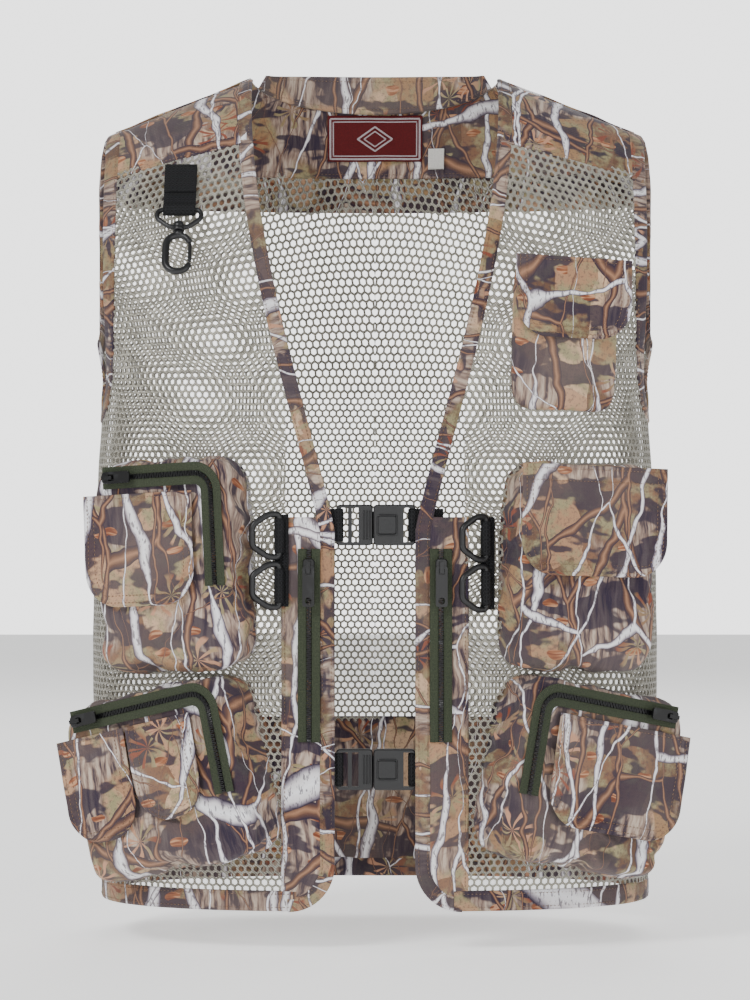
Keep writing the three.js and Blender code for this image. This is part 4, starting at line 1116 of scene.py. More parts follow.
@dataclass
class ClothPanels:
    """The camouflage panels, the folded bindings and the collar."""

    form: BodyForm
    pattern: Pattern
    finishes: Finishes
    stitches: Stitching
    cloth: float = 1.6

    def drape(self, points: Array, normal: Array, seed: int, deep: float = 0.7) -> Array:
        """Moves a grid along its normals by two sizes of smooth noise, so that the cloth isn't tight."""
        wave = smooth_noise(points, 70.0, seed) * deep + smooth_noise(points, 24.0, seed + 1) * deep * 0.3
        return points + normal * wave[..., None]

    def on_side(self, points: Array, normal: Array, sign: int) -> tuple[Array, Array]:
        """A grid made for the wearer's left, turned over to the right when the sign is -1."""
        points, normal = points * [sign, 1, 1], normal * [sign, 1, 1]
        return (points, normal) if sign > 0 else (points[:, ::-1], normal[:, ::-1])

    def sheet(self, name: str, points: Array, normal: Array, layers: tuple[float, float], shift: tuple[float, float],
              flat: tuple[float, float], *nodes: str) -> Piece:
        """Makes a closed sheet from a grid in mm and dresses it, and works out its area, at most its flat size in mm.
        """
        piece = shell(name, points * MM, layers[0] * MM, layers[1] * MM, cloth_uv(points * MM, shift), normal)
        dress(piece, self.finishes.camo, "camo_fabric", "vest", *nodes)
        cut_area(points, flat)
        return piece

    def strip(self, name: str, path: Array, across: Array, normal: Array, reach: tuple[float, float], thick: float,
              shift: tuple[float, float], closed: bool, *nodes: str, mirror: bool = False) -> Piece:
        """A folded binding along a path, puckered a little between its stitches."""
        pucker = smooth_noise(path, 9.0, 3) * 0.12 + smooth_noise(path, 38.0, 8) * 0.35
        path = path + normal * (0.8 + pucker)[:, None]
        piece = ribbon(name, path, across, normal, reach, thick, shift, closed, mirror)
        return dress(piece, self.finishes.binding, "binding", "vest", *nodes)

    def front_yoke(self, side: Side) -> None:
        """The shoulder panel in front: columns of even x, from the slanted seam up over the crest."""
        form, pattern, sign = self.form, self.pattern, side.value
        s, t = np.meshgrid(np.linspace(0, 1, 90), np.linspace(0, 1, 60))
        x = NECK_HALF + (SHOULDER_HALF - NECK_HALF) * s
        for _ in range(6):
            low = form.rise(x, pattern.seam(x))
            rise = low + (1 - low) * t
            near = pattern.edge(form.height(x, rise)) + 4
            x = near + (SHOULDER_HALF - near) * s
        points, normal = form.front(x, rise)
        points = self.drape(points, normal, 11, 0.8)
        points[-1] -= normal[-1] * 0.3
        points, normal = self.on_side(points, normal, sign)
        self.sheet(f"front_yoke_panel_{side.word}", points, normal, (0, self.cloth), (0.31 * sign, 0.9),
                   (128, 135), f"front_yoke_{side.word}")
        for row in (1, 4):
            self.stitches.along("vest", points[row] * MM + normal[row] * (self.cloth + 0.1) * MM, normal[row])

    def placket(self, side: Side) -> None:
        """The strip beside the front edge, from the hem up to the V, with its zip in the middle."""
        form, pattern, sign = self.form, self.pattern, side.value
        s, height = np.meshgrid(np.linspace(0, 1, 26), np.linspace(3, 300, 150))
        inner = pattern.edge(height) + 2
        x = inner + (pattern.placket_half - inner) * s
        points, normal = form.front(x, form.rise(x, height))
        points = self.drape(points, normal, 21, 0.35)
        points, normal = self.on_side(points, normal, sign)
        self.sheet(f"placket_panel_{side.word}", points, normal, (-0.2, self.cloth), (0.07 * sign, 1.6),
                   (42, 300), f"placket_{side.word}")
        z = np.linspace(18, 296, 120)
        x = np.full_like(z, pattern.placket_half - 2.5)
        path, normal = form.front(x, form.rise(x, z))
        turn = np.array([sign, 1, 1])
        self.stitches.along("vest", (path + normal * (self.cloth + 0.5)) * turn * MM, normal * turn)

    def front_edge(self, side: Side) -> None:
        """The folded binding of the front edge, from the round hem corner up the V to the crest."""
        form, pattern, sign = self.form, self.pattern, side.value
        angle = np.linspace(0, math.pi / 2, 14)
        corner = np.stack([66 - 35 * np.sin(angle), 35 - 35 * np.cos(angle)], 1)
        straight = np.linspace(40, 290, 60)
        rise = np.linspace(form.rise_at(35.0, 296.0), 1.0, 90)
        x = np.full_like(rise, 60.0)
        for _ in range(8):
            x = pattern.edge(form.height(x, rise))
        low = np.concatenate([corner, np.stack([pattern.edge(straight), straight], 1)])
        xs = np.concatenate([low[:, 0], x])
        rises = np.concatenate([form.rise(low[:, 0], low[:, 1]), rise])
        path, normal = form.front(xs, rises)
        across = np.cross(normal, unit(np.gradient(path, axis=0)))
        across *= np.where(across[:, :1] < 0, -1.0, 1.0)
        self.strip(f"front_edge_binding_{side.word}", path, across, normal, (-0.4, pattern.binding), 3.0,
                   (0.5 * sign, 2.2), False, mirror=sign < 0)
        turn = np.array([sign, 1, 1])
        for inset in (2.2, pattern.binding - 2.0):
            row = path + across * inset + normal * 2.35
            self.stitches.along("vest", row[2:] * turn * MM, normal[2:] * turn)

    def armhole(self, side: Side) -> None:
        """The folded binding round an armhole: up the front, over the crest and down the back."""
        form, pattern, sign = self.form, self.pattern, side.value
        start = form.rise_at(SHOULDER_HALF, 377.5)
        share = np.linspace(0, 1, 90)
        rise = start + (1 - start) * np.sin(share * math.pi / 2) ** 1.15
        front = pattern.armhole(form, rise)
        back = pattern.armhole(form, rise, back=True)
        turn = np.concatenate([front, back[-2::-1]])
        rises = np.concatenate([rise, rise[-2::-1]])
        path = form.point(turn, rises)
        normal = form.normal(turn, rises)
        steps = run_lengths(path)
        even = np.linspace(0, steps[-1], 260)
        normal = unit(rolling_mean(sampled(normal, steps, even), 9))
        path = rolling_mean(sampled(path, steps, even), 5)
        across = unit(np.cross(unit(np.roll(path, -1, 0) - np.roll(path, 1, 0)), normal))
        path, normal, across = (np.concatenate([rows, rows[:1]]) for rows in (path, normal, across))
        self.strip(f"armhole_tape_{side.word}", path, across, normal, (-5.0, 7.5), 3.2, (0.8 * sign, 2.7), True,
                   f"armhole_binding_{side.word}", mirror=sign < 0)
        turn = np.array([sign, 1, 1])
        self.stitches.along("vest", (path - across * 3.2 + normal * 2.45) * turn * MM, normal * turn)

    def hem(self) -> None:
        """The hem's folded band, round the back from one front corner to the other."""
        form = self.form
        start = float(form.turn(np.array(60.0), np.array(-0.99)))
        turn = np.linspace(start, 2 * math.pi - start, 420)
        rise = np.full_like(turn, form.rise_at(100.0, 0.8))
        path, normal = form.point(turn, rise), form.normal(turn, rise)
        up = np.broadcast_to([0.0, 0.0, 1.0], path.shape).copy()
        self.strip("hem_band", path, up, normal, (-0.6, 15.2), 3.4, (0.0, 3.1), False, "hem_binding")
        for inset in (2.5, 12.6):
            row = path + normal * 2.5 + up * inset
            self.stitches.along("vest", row * MM, normal)

    def back_panels(self) -> None:
        """The back yoke, its lining with the neck scooped out, and the lower back panel."""
        form, pattern = self.form, self.pattern
        for name, low, layers, tall in (("back_yoke_panel", pattern.back_bottom, (1.9, 3.5), 185),
                                        ("back_yoke_lining_panel", pattern.lining_bottom, (0.0, 1.5), 155)):
            s, t = np.meshgrid(np.linspace(-1, 1, 200), np.linspace(0, 1, 70))
            x = s * SHOULDER_HALF
            for _ in range(5):
                start = form.rise(x, low + 0 * x)
                rise = start + (pattern.neck_rise(s) - start) * t
                half = pattern.armhole_back + (SHOULDER_HALF - pattern.armhole_back) * np.maximum(0, rise) ** 4
                x = np.where(s == 0, 1e-6, s * half)
            points, normal = form.front(x, rise, back=True)
            points = self.drape(points, normal, 31, 0.6)
            points, normal = points[:, ::-1], normal[:, ::-1]
            node = name.replace("_panel", "")
            self.sheet(name, points, normal, layers, (0.2, 4.0 if low > 560 else 4.6), (460, tall), node)
            for row in (1, 4):
                offset = layers[0] - 0.1 if low > 560 else layers[1] + 0.1
                line = points[row] + normal[row] * offset
                self.stitches.along("vest", line * MM, normal[row] * (-1 if low > 560 else 1))
        turn, z = np.meshgrid(np.linspace(math.pi / 2 + 0.01, 1.5 * math.pi - 0.01, 300), np.linspace(10, 133, 50))
        rise = form.rise(np.full_like(z, 100.0), z)
        points, normal = form.point(turn, rise), form.normal(turn, rise)
        points = self.drape(points, normal, 41, 0.8)
        self.sheet("lower_back_panel", points, normal, (0, self.cloth), (0.1, 5.4), (575, 125), "back_lower_panel")
        for row in (-2, -5):
            line = points[row] + normal[row] * (self.cloth + 0.15)
            self.stitches.along("vest", line * MM, normal[row])

    def collar(self) -> None:
        """The standing neck band: a curved strip from shoulder to shoulder round the back of the neck."""
        form, pattern = self.form, self.pattern
        reach, tallest = 94.0 / SHOULDER_HALF, 30.0
        s = np.linspace(-reach, reach, 150)
        rise = pattern.neck_rise(s)
        half = pattern.armhole_back + (SHOULDER_HALF - pattern.armhole_back) * rise ** 4
        base = form.front(s * half, rise, back=True)[0]
        inward = unit(np.stack([-base[:, 0], form.half_depth / 6 - base[:, 1], 0 * s], -1))
        level = base[len(s) // 2, 2] + tallest - 4.0 * (s / reach) ** 4
        tall = np.clip(level - base[:, 2], 3.0, tallest)
        t = np.linspace(0, 1, 16)[:, None, None]
        points = base + inward * (3.4 + 6.0 * t) + np.array([0, 0, 1]) * tall[:, None] * t
        normal = -np.broadcast_to(inward, points.shape)
        piece = shell("collar_band", points * MM, -1.2 * MM, 1.2 * MM, cloth_uv(points * MM, (0.3, 6.2)), normal)
        dress(piece, self.finishes.binding, "binding", "vest", "collar")
        for row in (2, 13):
            for way in (-1, 1):
                self.stitches.along("vest", (points[row] + way * normal[row] * 1.35) * MM, way * normal[row])

    def build(self) -> None:
        """Makes every panel and binding."""
        for side in Side:
            self.front_yoke(side)
            self.placket(side)
            self.front_edge(side)
            self.armhole(side)
        self.hem()
        self.back_panels()
        self.collar()


def rolling_mean(values: Array, width: int) -> Array:
    """Mean of each row with its neighbours, round a closed loop."""
    total = sum(np.roll(values, k, 0) for k in range(-(width // 2), width // 2 + 1))
    return total / width


def outwards(obj: Piece) -> Piece:
    """Turns a closed piece's faces outwards when its signed volume is negative."""
    mesh = obj.data
    mesh.calc_loop_triangles()
    corners = np.empty(len(mesh.loop_triangles) * 3, np.int32)
    mesh.loop_triangles.foreach_get("vertices", corners)
    places = np.empty(len(mesh.vertices) * 3)
    mesh.vertices.foreach_get("co", places)
    a, b, c = places.reshape(-1, 3)[corners.reshape(-1, 3)].transpose(1, 0, 2)
    if np.einsum("ij,ij->", a, np.cross(b, c)) < 0:
        mesh.flip_normals()
    return obj


# ---- pockets, flaps and zips
def settle(obj: Piece, held: Array, pressure: float, slack: float, frames: int = 16) -> Array:
    """Lets a piece swell and buckle as cloth, with its held corners fixed.

    Args:
        obj: a closed mesh.
        held: (n,) how firmly each corner is held, 0 to 1.
        pressure: how hard it is filled.
        slack: share by which its cloth is larger than its form.
        frames: how many steps are run.
    """
    count = len(obj.data.vertices)
    places = np.empty(count * 3)
    obj.data.vertices.foreach_get("co", places)
    group = obj.vertex_groups.new(name="held")
    for weight in (0.3, 0.6, 1.0):
        chosen = np.flatnonzero(np.abs(held - weight) < 0.151)
        group.add(chosen.tolist(), weight, "REPLACE")
    cloth = obj.modifiers.new("cloth", "CLOTH")
    rule = cloth.settings
    rule.vertex_group_mass = "held"
    rule.quality = 5
    rule.mass = 0.15
    rule.tension_stiffness = rule.compression_stiffness = 12
    rule.shear_stiffness = 4
    rule.bending_stiffness = 0.35
    rule.use_pressure = True
    rule.uniform_pressure_force = pressure
    rule.shrink_min = rule.shrink_max = -slack
    rule.effector_weights.gravity = 0
    cloth.collision_settings.use_collision = False
    cloth.point_cache.frame_start, cloth.point_cache.frame_end = 1, frames
    scene = bpy.context.scene
    for step in range(1, frames + 1):
        scene.frame_set(step)
    baked = obj.evaluated_get(bpy.context.evaluated_depsgraph_get()).to_mesh()
    baked.vertices.foreach_get("co", places)
    obj.modifiers.remove(cloth)
    obj.vertex_groups.remove(group)
    scene.frame_set(1)
    return places.reshape(-1, 3)


@dataclass(frozen=True)
class ZipRun:
    """A pocket's zip in mm: along the top, round a corner and down the inner edge."""

    outer_end: float = 22.0
    top: float = 12.0
    inner_edge: float = 16.0
    end: float = 48.0
    bend: float = 14.0
    start: float = 8.0

    def line(self, half: float, tall: float, side: int) -> Array:
        """The zip's middle line as (n, 2) local x and z: a straight, a quarter round and a straight."""
        first = np.linspace(self.outer_end - half - self.start, half - self.inner_edge - self.bend, 60)
        angle = np.linspace(math.pi / 2, 0, 14)[1:-1]
        level = tall / 2 - self.top
        middle = (half - self.inner_edge - self.bend, level - self.bend)
        last = np.linspace(level - self.bend, self.end - tall / 2, 40)
        x = np.concatenate([first, middle[0] + self.bend * np.cos(angle), np.full_like(last, half - self.inner_edge)])
        z = np.concatenate([np.full_like(first, level), middle[1] + self.bend * np.sin(angle), last])
        return np.stack([x * side, z], 1)


@dataclass(frozen=True)
class FlapCut:
    """A flap in mm: its ends from the pocket's inner edge, its height and its drop below the pocket's top."""

    name: str
    start: float
    end: float
    tall: float
    drop: float
    strip: bool = False


@dataclass
class Pocket:
    """A cargo pocket: a filled box of canvas with a soft front edge, sagging folds, a zip and flaps."""

    name: str
    side: Side
    inner: float
    outer: float
    z: float
    tall: float
    depth: float
    roll: float
    flaps: Sequence[FlapCut]
    zip: Optional[ZipRun] = None
    flap_corner: float = 28.0
    flap_thick: float = 2.4
    seed: int = 1

    def seat(self, form: BodyForm) -> Seat:
        """The pocket's local frame on the front."""
        ends = (self.inner, self.outer) if self.side is Side.LEFT else (-self.outer, -self.inner)
        return form.frame(*ends, self.z, self.roll)

    def body(self, seat: Seat, finishes: Finishes) -> None:
        """The canvas box: rings of a squared oval, from behind the mesh along the walls and round to the middle.

        Its cloth coordinates unfold the walls outwards. The cloth then settles, held at the back and under
        the zip and the flaps, and its front is kept behind them.
        """
        half, tall, depth = seat.chord / 2, self.tall / 2, self.depth
        full = depth > 12
        edge = 12.0 if full else 4.0
        wall = np.linspace(0, 1, 14 if full else 4)
        bow = np.linspace(0, math.pi / 2, 8)[1:]
        back = 5.0 if full else 1.5
        y = np.concatenate([back + (-depth + edge - back) * wall, -depth + edge * (1 - np.sin(bow))])
        inset = np.concatenate([0 * wall, edge * (1 - np.cos(bow))])
        run = np.concatenate([[0], np.cumsum(np.hypot(np.diff(y), np.diff(inset)))])
        steps = int((min(half, tall) - edge) / 3.2)
        shrink = np.linspace(1, 0.02, steps)[1:]
        count = 2 * int((half + tall) * 2 / 3.4 / 2)
        angle = np.arange(count) * 2 * math.pi / count
        c, s = np.cos(angle), np.sin(angle)
        power = 7.0
        k = (np.abs(c) ** power + np.abs(s) ** power) ** (-1 / power)
        outline = np.stack([c * k, s * k], 1)
        size = np.array([half, tall])
        rings, flat = [], []
        for level, step, far in zip(y, inset, run):
            ring = outline * (size - step)
            rings.append(columns_of(ring[:, 0], level, ring[:, 1]))
            flat.append(outline * (size + run[-1] - far - edge))
        for share in shrink:
            ring = outline * (size - edge) * share
            rings.append(columns_of(ring[:, 0], -depth, ring[:, 1]))
            flat.append(ring)
        points, uv = np.stack(rings), np.stack(flat)
        rows = len(points)
        spread = points.copy()
        folds = smooth_noise(np.stack([uv[..., 0] + 0.8 * uv[..., 1], (uv[..., 1] - 0.6 * uv[..., 0]) * 0.35], -1),
                             26.0, self.seed)
        deep = (2.2 if full else 0.5) * np.abs(folds)
        onto = np.clip((points[..., 1] + depth) / edge, 0, 1)
        spread[..., 1] += deep * (1 - onto)
        if full:
            spread[..., [0, 2]] *= 1 - (0.028 * np.abs(folds) * onto)[..., None]
        faces = grid_faces(rows, count, wrap=True)
        centre = rows * count
        tip = (rows - 1) * count + np.arange(count)
        lid = columns_of(tip, np.roll(tip, -1), centre)
        floor = columns_of(np.arange(count), np.roll(np.arange(count), -1), centre + 1)[:, ::-1]
        verts = np.concatenate([spread.reshape(-1, 3), [[0, -depth, 0], [0, back, 0]]])
        cloth = np.concatenate([uv.reshape(-1, 2), [[0, 0], [0, 0]]]) * MM + [self.seed * 0.37, self.seed * 0.21]
        piece = outwards(mesh_object(f"{self.name}_canvas", verts * MM, [faces, lid, floor], cloth))
        hardware = self.hardware(half)
        if full:
            held = np.zeros(len(verts))
            held[:count * 3] = held[-1] = 1.0
            held[:-2][hardware(points.reshape(-1, 3)) > 0.5] = 1.0
            places = settle(piece, held, 1.6, 0.10) / MM
        else:
            places = verts
        places = verts + np.clip(places - verts, -9.0, 9.0)
        places[:, 1] = np.maximum(places[:, 1], -depth - 3.0 * (1 - hardware(places)))
        piece.data.vertices.foreach_set("co", seat.place(places).astype(np.float32).ravel())
        outwards(piece)
        piece.data.update()
        smoothed(piece)
        dress(piece, finishes.camo, "camo_fabric", "vest", self.name)

    def hardware(self, half: float) -> Callable[[Array], Array]:
        """How near a local place is to the zip or under a flap: 1 there, 0 well away."""
        side = -self.side.value

        def near(points: Array) -> Array:
            """The nearness of (n, 3) places."""
            room = np.zeros(len(points))
            u, z = points[:, 0] * side, points[:, 2]
            face = smoothstep((-points[:, 1] - self.depth + 16) / 8)
            if self.zip is not None:
                line = self.zip.line(half, self.tall, 1)[::4]
                far = np.sqrt(((np.stack([u, z], 1)[:, None] - line[None]) ** 2).sum(-1)).min(1)
                room = np.maximum(room, smoothstep((17 - far) / 6))
            for flap in self.flaps:
                top = self.tall / 2 - flap.drop
                inside = smoothstep((half - flap.start + 4 - u) / 5) * smoothstep((u - half + flap.end + 4) / 5)
                inside = inside * smoothstep((top + 5 - z) / 5) * smoothstep((z - top + flap.tall + 2) / 5)
                room = np.maximum(room, inside)
            return room * face

        return near

    def flap(self, cut: FlapCut, seat: Seat, finishes: Finishes, stitches: Stitching) -> None:
        """A two-ply flap with round lower corners, a little crowned, its free edge lifting off the pocket."""
        side = -self.side.value
        wide, radius = (cut.end - cut.start) / 2, self.flap_corner
        place = seat.moved(side * (seat.chord / 2 - (cut.start + cut.end) / 2), -self.depth - 0.3 - self.flap_thick,
                           self.tall / 2 - cut.drop)
        z = np.concatenate([-(cut.tall - radius) * np.linspace(0, 1, 26),
                            -(cut.tall - radius) - radius * np.sin(np.linspace(0, math.pi / 2, 22)[1:])])
        low = np.clip(-(z + cut.tall - radius), 0, radius)
        reach = wide - radius + np.sqrt(np.clip(radius ** 2 - low ** 2, 0, None))
        s = np.linspace(-1, 1, 56)
        x = reach[:, None] * s[None]
        level = -z[:, None] / cut.tall + 0 * x
        local = np.stack([x, 0 * x, z[:, None] + 0 * x], -1)
        lift = 2.2 * level ** 3 + 1.1 * np.sin(math.pi * level)
        lift = lift + np.abs(x / wide) ** 3 * 1.4 * level - 0.8 * level
        wave = smooth_noise(local[..., [0, 2]], 42.0, self.seed + int(wide)) * 1.2 * level
        local[..., 1] = np.minimum(-(lift + wave * 0.9), 0.3)
        points = place.place(local)
        out = place.axes @ [0.0, -1.0, 0.0]
        shift = (self.seed * 0.53 + wide * 0.01, cut.tall * 0.02 + self.seed * 0.11)
        rounded = np.minimum(1, np.minimum((1 - np.abs(s))[None] * 10, (1 - level) * 14) + 0.35)
        backs = points - out * (self.flap_thick * rounded)[..., None] * MM
        piece = two_ply(cut.name + "_canvas", points, backs, cloth_uv(points, shift))
        outwards(piece)
        dress(piece, finishes.camo, "camo_fabric", cut.name, cut.name)
        for inset in (3.2, 8.6):
            near = reach - inset
            outline_x = np.concatenate([-near, near[::-1]])
            outline_z = np.maximum(np.concatenate([z, z[::-1]]), z[-1] + inset)
            keep = np.concatenate([near, near[::-1]]) > 0
            row = bilinear(points, outline_x[keep], outline_z[keep], reach, z)
            stitches.along(cut.name, row + out * 0.25 * MM, out)
        for drop in ((3.0, 12.0) if cut.strip else (3.0,)):
            row = bilinear(points, np.linspace(-wide + 2, wide - 2, 60), np.full(60, -drop), reach, z)
            stitches.along(cut.name, row + out * 0.25 * MM, out)

    def zipper(self, seat: Seat, finishes: Finishes) -> None:
        """The zip's olive tapes and its coil of teeth."""
        if self.zip is not None:
            line = self.zip.line(seat.chord / 2, self.tall, -self.side.value)
            make_zip(f"{self.name}_zip", seat, columns_of(line[:, 0], -self.depth - 0.3, line[:, 1]), finishes)

    def build(self, form: BodyForm, finishes: Finishes, stitches: Stitching) -> None:
        """Makes the pocket, its zip and its flaps."""
        seat = self.seat(form)
        self.body(seat, finishes)
        self.zipper(seat, finishes)
        for cut in self.flaps:
            self.flap(cut, seat, finishes, stitches)


def bilinear(points: Array, x: Array, z: Array, reach: Array, rows: Array) -> Array:
    """Places on a flap's grid at local x and z: rows are its heights downwards, reach its half widths."""
    at = np.clip(np.interp(-z, -rows, np.arange(len(rows))), 0, len(rows) - 1.001)
    row = at.astype(int)
    part = (at - row)[:, None]
    across = np.clip((x / np.interp(-z, -rows, reach) + 1) / 2 * (points.shape[1] - 1), 0, points.shape[1] - 1.001)
    column = across.astype(int)
    over = (across - column)[:, None]
    upper = points[row, column] * (1 - over) + points[row, column + 1] * over
    lower = points[row + 1, column] * (1 - over) + points[row + 1, column + 1] * over
    return upper * (1 - part) + lower * part


def make_zip(name: str, seat: Seat, path: Array, finishes: Finishes) -> None:
    """A coil zip along a local path in mm, in the seat's x-z plane, its face towards -y.

    Two tapes 7.3 mm wide lie beside the coil. The coil is a row of low bars across the zip, each with eight
    corners.
    """
    way = unit(np.gradient(path, axis=0))
    out = np.array([0.0, -1.0, 0.0])
    for number, reach in enumerate(((-8.5, -1.6), (1.6, 8.5))):
        tape = seat_ribbon(f"{name}_tape_{number}", seat, path - [0, 0.5, 0], np.cross(way, out), out, reach, 1.0)
        nodes = [f"{name}_tape"] if number == 0 else []
        dress(tape, finishes.tape, "zip_tape", "vest", *nodes)
    far = run_lengths(path)
    count = int(far[-1] / 1.5)
    at = (np.arange(count) + 0.5) * 1.5
    middle = sampled(path, far, at)
    along = sampled(way, far, at)
    side = np.cross(along, out)
    lean = (np.arange(count) % 2 * 2 - 1)[:, None] * 0.25
    corners = []
    for a, b, height in ((-0.5, -2.2, 0.5), (0.5, -2.2, 0.5), (0.5, 2.2, 0.5), (-0.5, 2.2, 0.5),
                         (-0.35, -1.6, 2.1), (0.35, -1.6, 2.1), (0.35, 1.6, 2.1), (-0.35, 1.6, 2.1)):
        corners.append(middle + along * (a + lean * np.sign(b)) + side * b + out * height)
    verts = np.stack(corners, 1).reshape(-1, 3)
    block = np.array([[0, 1, 2, 3], [4, 7, 6, 5], [0, 4, 5, 1], [1, 5, 6, 2], [2, 6, 7, 3], [3, 7, 4, 0]])
    faces = (np.arange(count)[:, None, None] * 8 + block).reshape(-1, 4)
    coil = outwards(mesh_object(f"{name}_coil", seat.place(verts), [faces], smooth=False))
    dress(coil, finishes.coil, "zip_tape", "vest")


def pocket_set() -> list[Pocket]:
    """The five pockets and their flaps."""
    left, right = Side.LEFT, Side.RIGHT
    return [
        Pocket("mid_pocket_right", right, 92, 203, 264, 160, 34, -3, [FlapCut("mid_flap_right", 32, 126, 86, 25)],
               ZipRun(end=62), seed=2),
        Pocket("lower_pocket_right", right, 79, 213, 100, 138, 46, -13,
               [FlapCut("lower_flap_right_inner", 33, 92, 76, 25),
                FlapCut("lower_flap_right_outer", 94, 156, 82, 25)],
               ZipRun(), seed=3),
        Pocket("chest_pocket_left", left, 104, 184, 440, 118, 9, 2,
               [FlapCut("chest_flap_left", -3, 95, 62, 0)], seed=4),
        Pocket("mid_pocket_left", left, 95, 203, 263, 156, 34, 2,
               [FlapCut("mid_flap_left", -2, 124, 84, 2, True)], seed=5),
        Pocket("lower_pocket_left", left, 81, 213, 101, 138, 46, 11, [FlapCut("lower_flap_left", 32, 152, 84, 25)],
               ZipRun(), seed=6),
    ]


# ---- rings, hook, buckles and labels
def closed_path(corners: Sequence[tuple[float, float]], soft: int, count: int = 144) -> Array:
    """A closed polygon in local x and z as an even path, its corners softened by a rolling mean."""
    ring = np.array([*corners, corners[0]], float)
    far = run_lengths(ring)
    at = np.arange(count) / count * far[-1]
    flat = rolling_mean(sampled(ring, far, at), soft)
    return columns_of(flat[:, 0], 0.0, flat[:, 1])


def turned(profile: Sequence[tuple[float, float]], sides: int = 28) -> tuple[Array, Array]:
    """A body turned about its local z: (radius, z) pairs that start and end on the axis."""
    angle = np.arange(sides) * 2 * math.pi / sides
    rim = np.array([(max(r, 1e-5), z) for r, z in profile])
    x = rim[:, 0, None] * np.cos(angle)
    y = rim[:, 0, None] * np.sin(angle)
    verts = np.stack([x, y, rim[:, 1, None] + 0 * x], -1).reshape(-1, 3)
    return verts, grid_faces(len(rim), sides, wrap=True)


def hard_piece(name: str, seat: Seat, parts: Sequence[tuple[Array, Array]]) -> Piece:
    """Joins closed parts given in local mm into one piece that faces outwards."""
    verts, faces = merge_parts(parts)
    return outwards(mesh_object(name, seat.place(verts), faces))


@dataclass
class RingPair:
    """Two moulded D-rings that hang from a strip of webbing, their bars in sewn sleeves."""

    name: str
    x: float
    z: float
    deep: float = 23.0
    tall: float = 36.0
    wire: float = 2.45
    pitch: float = 38.0
    tilt: float = 24.0
    sleeve: float = 26.0

    def build(self, form: BodyForm, finishes: Finishes) -> None:
        """Makes the webbing, its sleeves and both rings."""
        frame = form.frame(self.x - self.deep, self.x, self.z, 0)
        place = frame.moved(frame.chord / 2, -5.7, 0)
        end = (self.pitch + self.sleeve) / 2 + 3
        z = np.linspace(-end, end, 40)
        back = seat_ribbon(f"{self.name}_strip", place, columns_of(1.5, 2.9, z), [1.0, 0, 0], [0, -1.0, 0],
                           (-5.3, 5.3), 1.8, 0.25)
        dress(back, finishes.webbing, "webbing", "vest", f"{self.name}_webbing")
        for number, middle in enumerate((-self.pitch / 2, self.pitch / 2)):
            arc = np.radians(np.linspace(28, -205, 26))
            loop = np.stack([3.2 * np.cos(arc), 3.2 * np.sin(arc)], 1)
            flat = np.concatenate([[[6.3, 1.9], [5.0, 1.8]], loop, [[-3.4, 2.6]]])
            path, up = columns_of(flat[:, 0], flat[:, 1], middle), np.array([0.0, 0, 1.0])
            normal = np.cross(unit(np.gradient(path, axis=0)), up)
            reach = (-self.sleeve / 2, self.sleeve / 2)
            sleeve = seat_ribbon(f"{self.name}_sleeve_{number}", place, path, up, normal, reach, 1.3)
            dress(sleeve, finishes.webbing, "webbing", "vest")
            level = "upper" if middle > 0 else "lower"
            body = f"{self.name}_{level}"
            seat = place.moved(0, 0, middle, tilt=self.tilt)
            half, far = self.tall / 2 - 1.7, 1.7 - self.deep
            path = closed_path([(0, half), (0, -half), (-8.5, -half), (far, 8.3 - half), (far, half - 8.3),
                                (-8.5, half)], 11)
            ring = hard_piece(f"{body}_moulded", seat, [tube(path, self.wire, 12, closed=True)])
            dress(ring, finishes.stippled, "black_plastic", body, body)


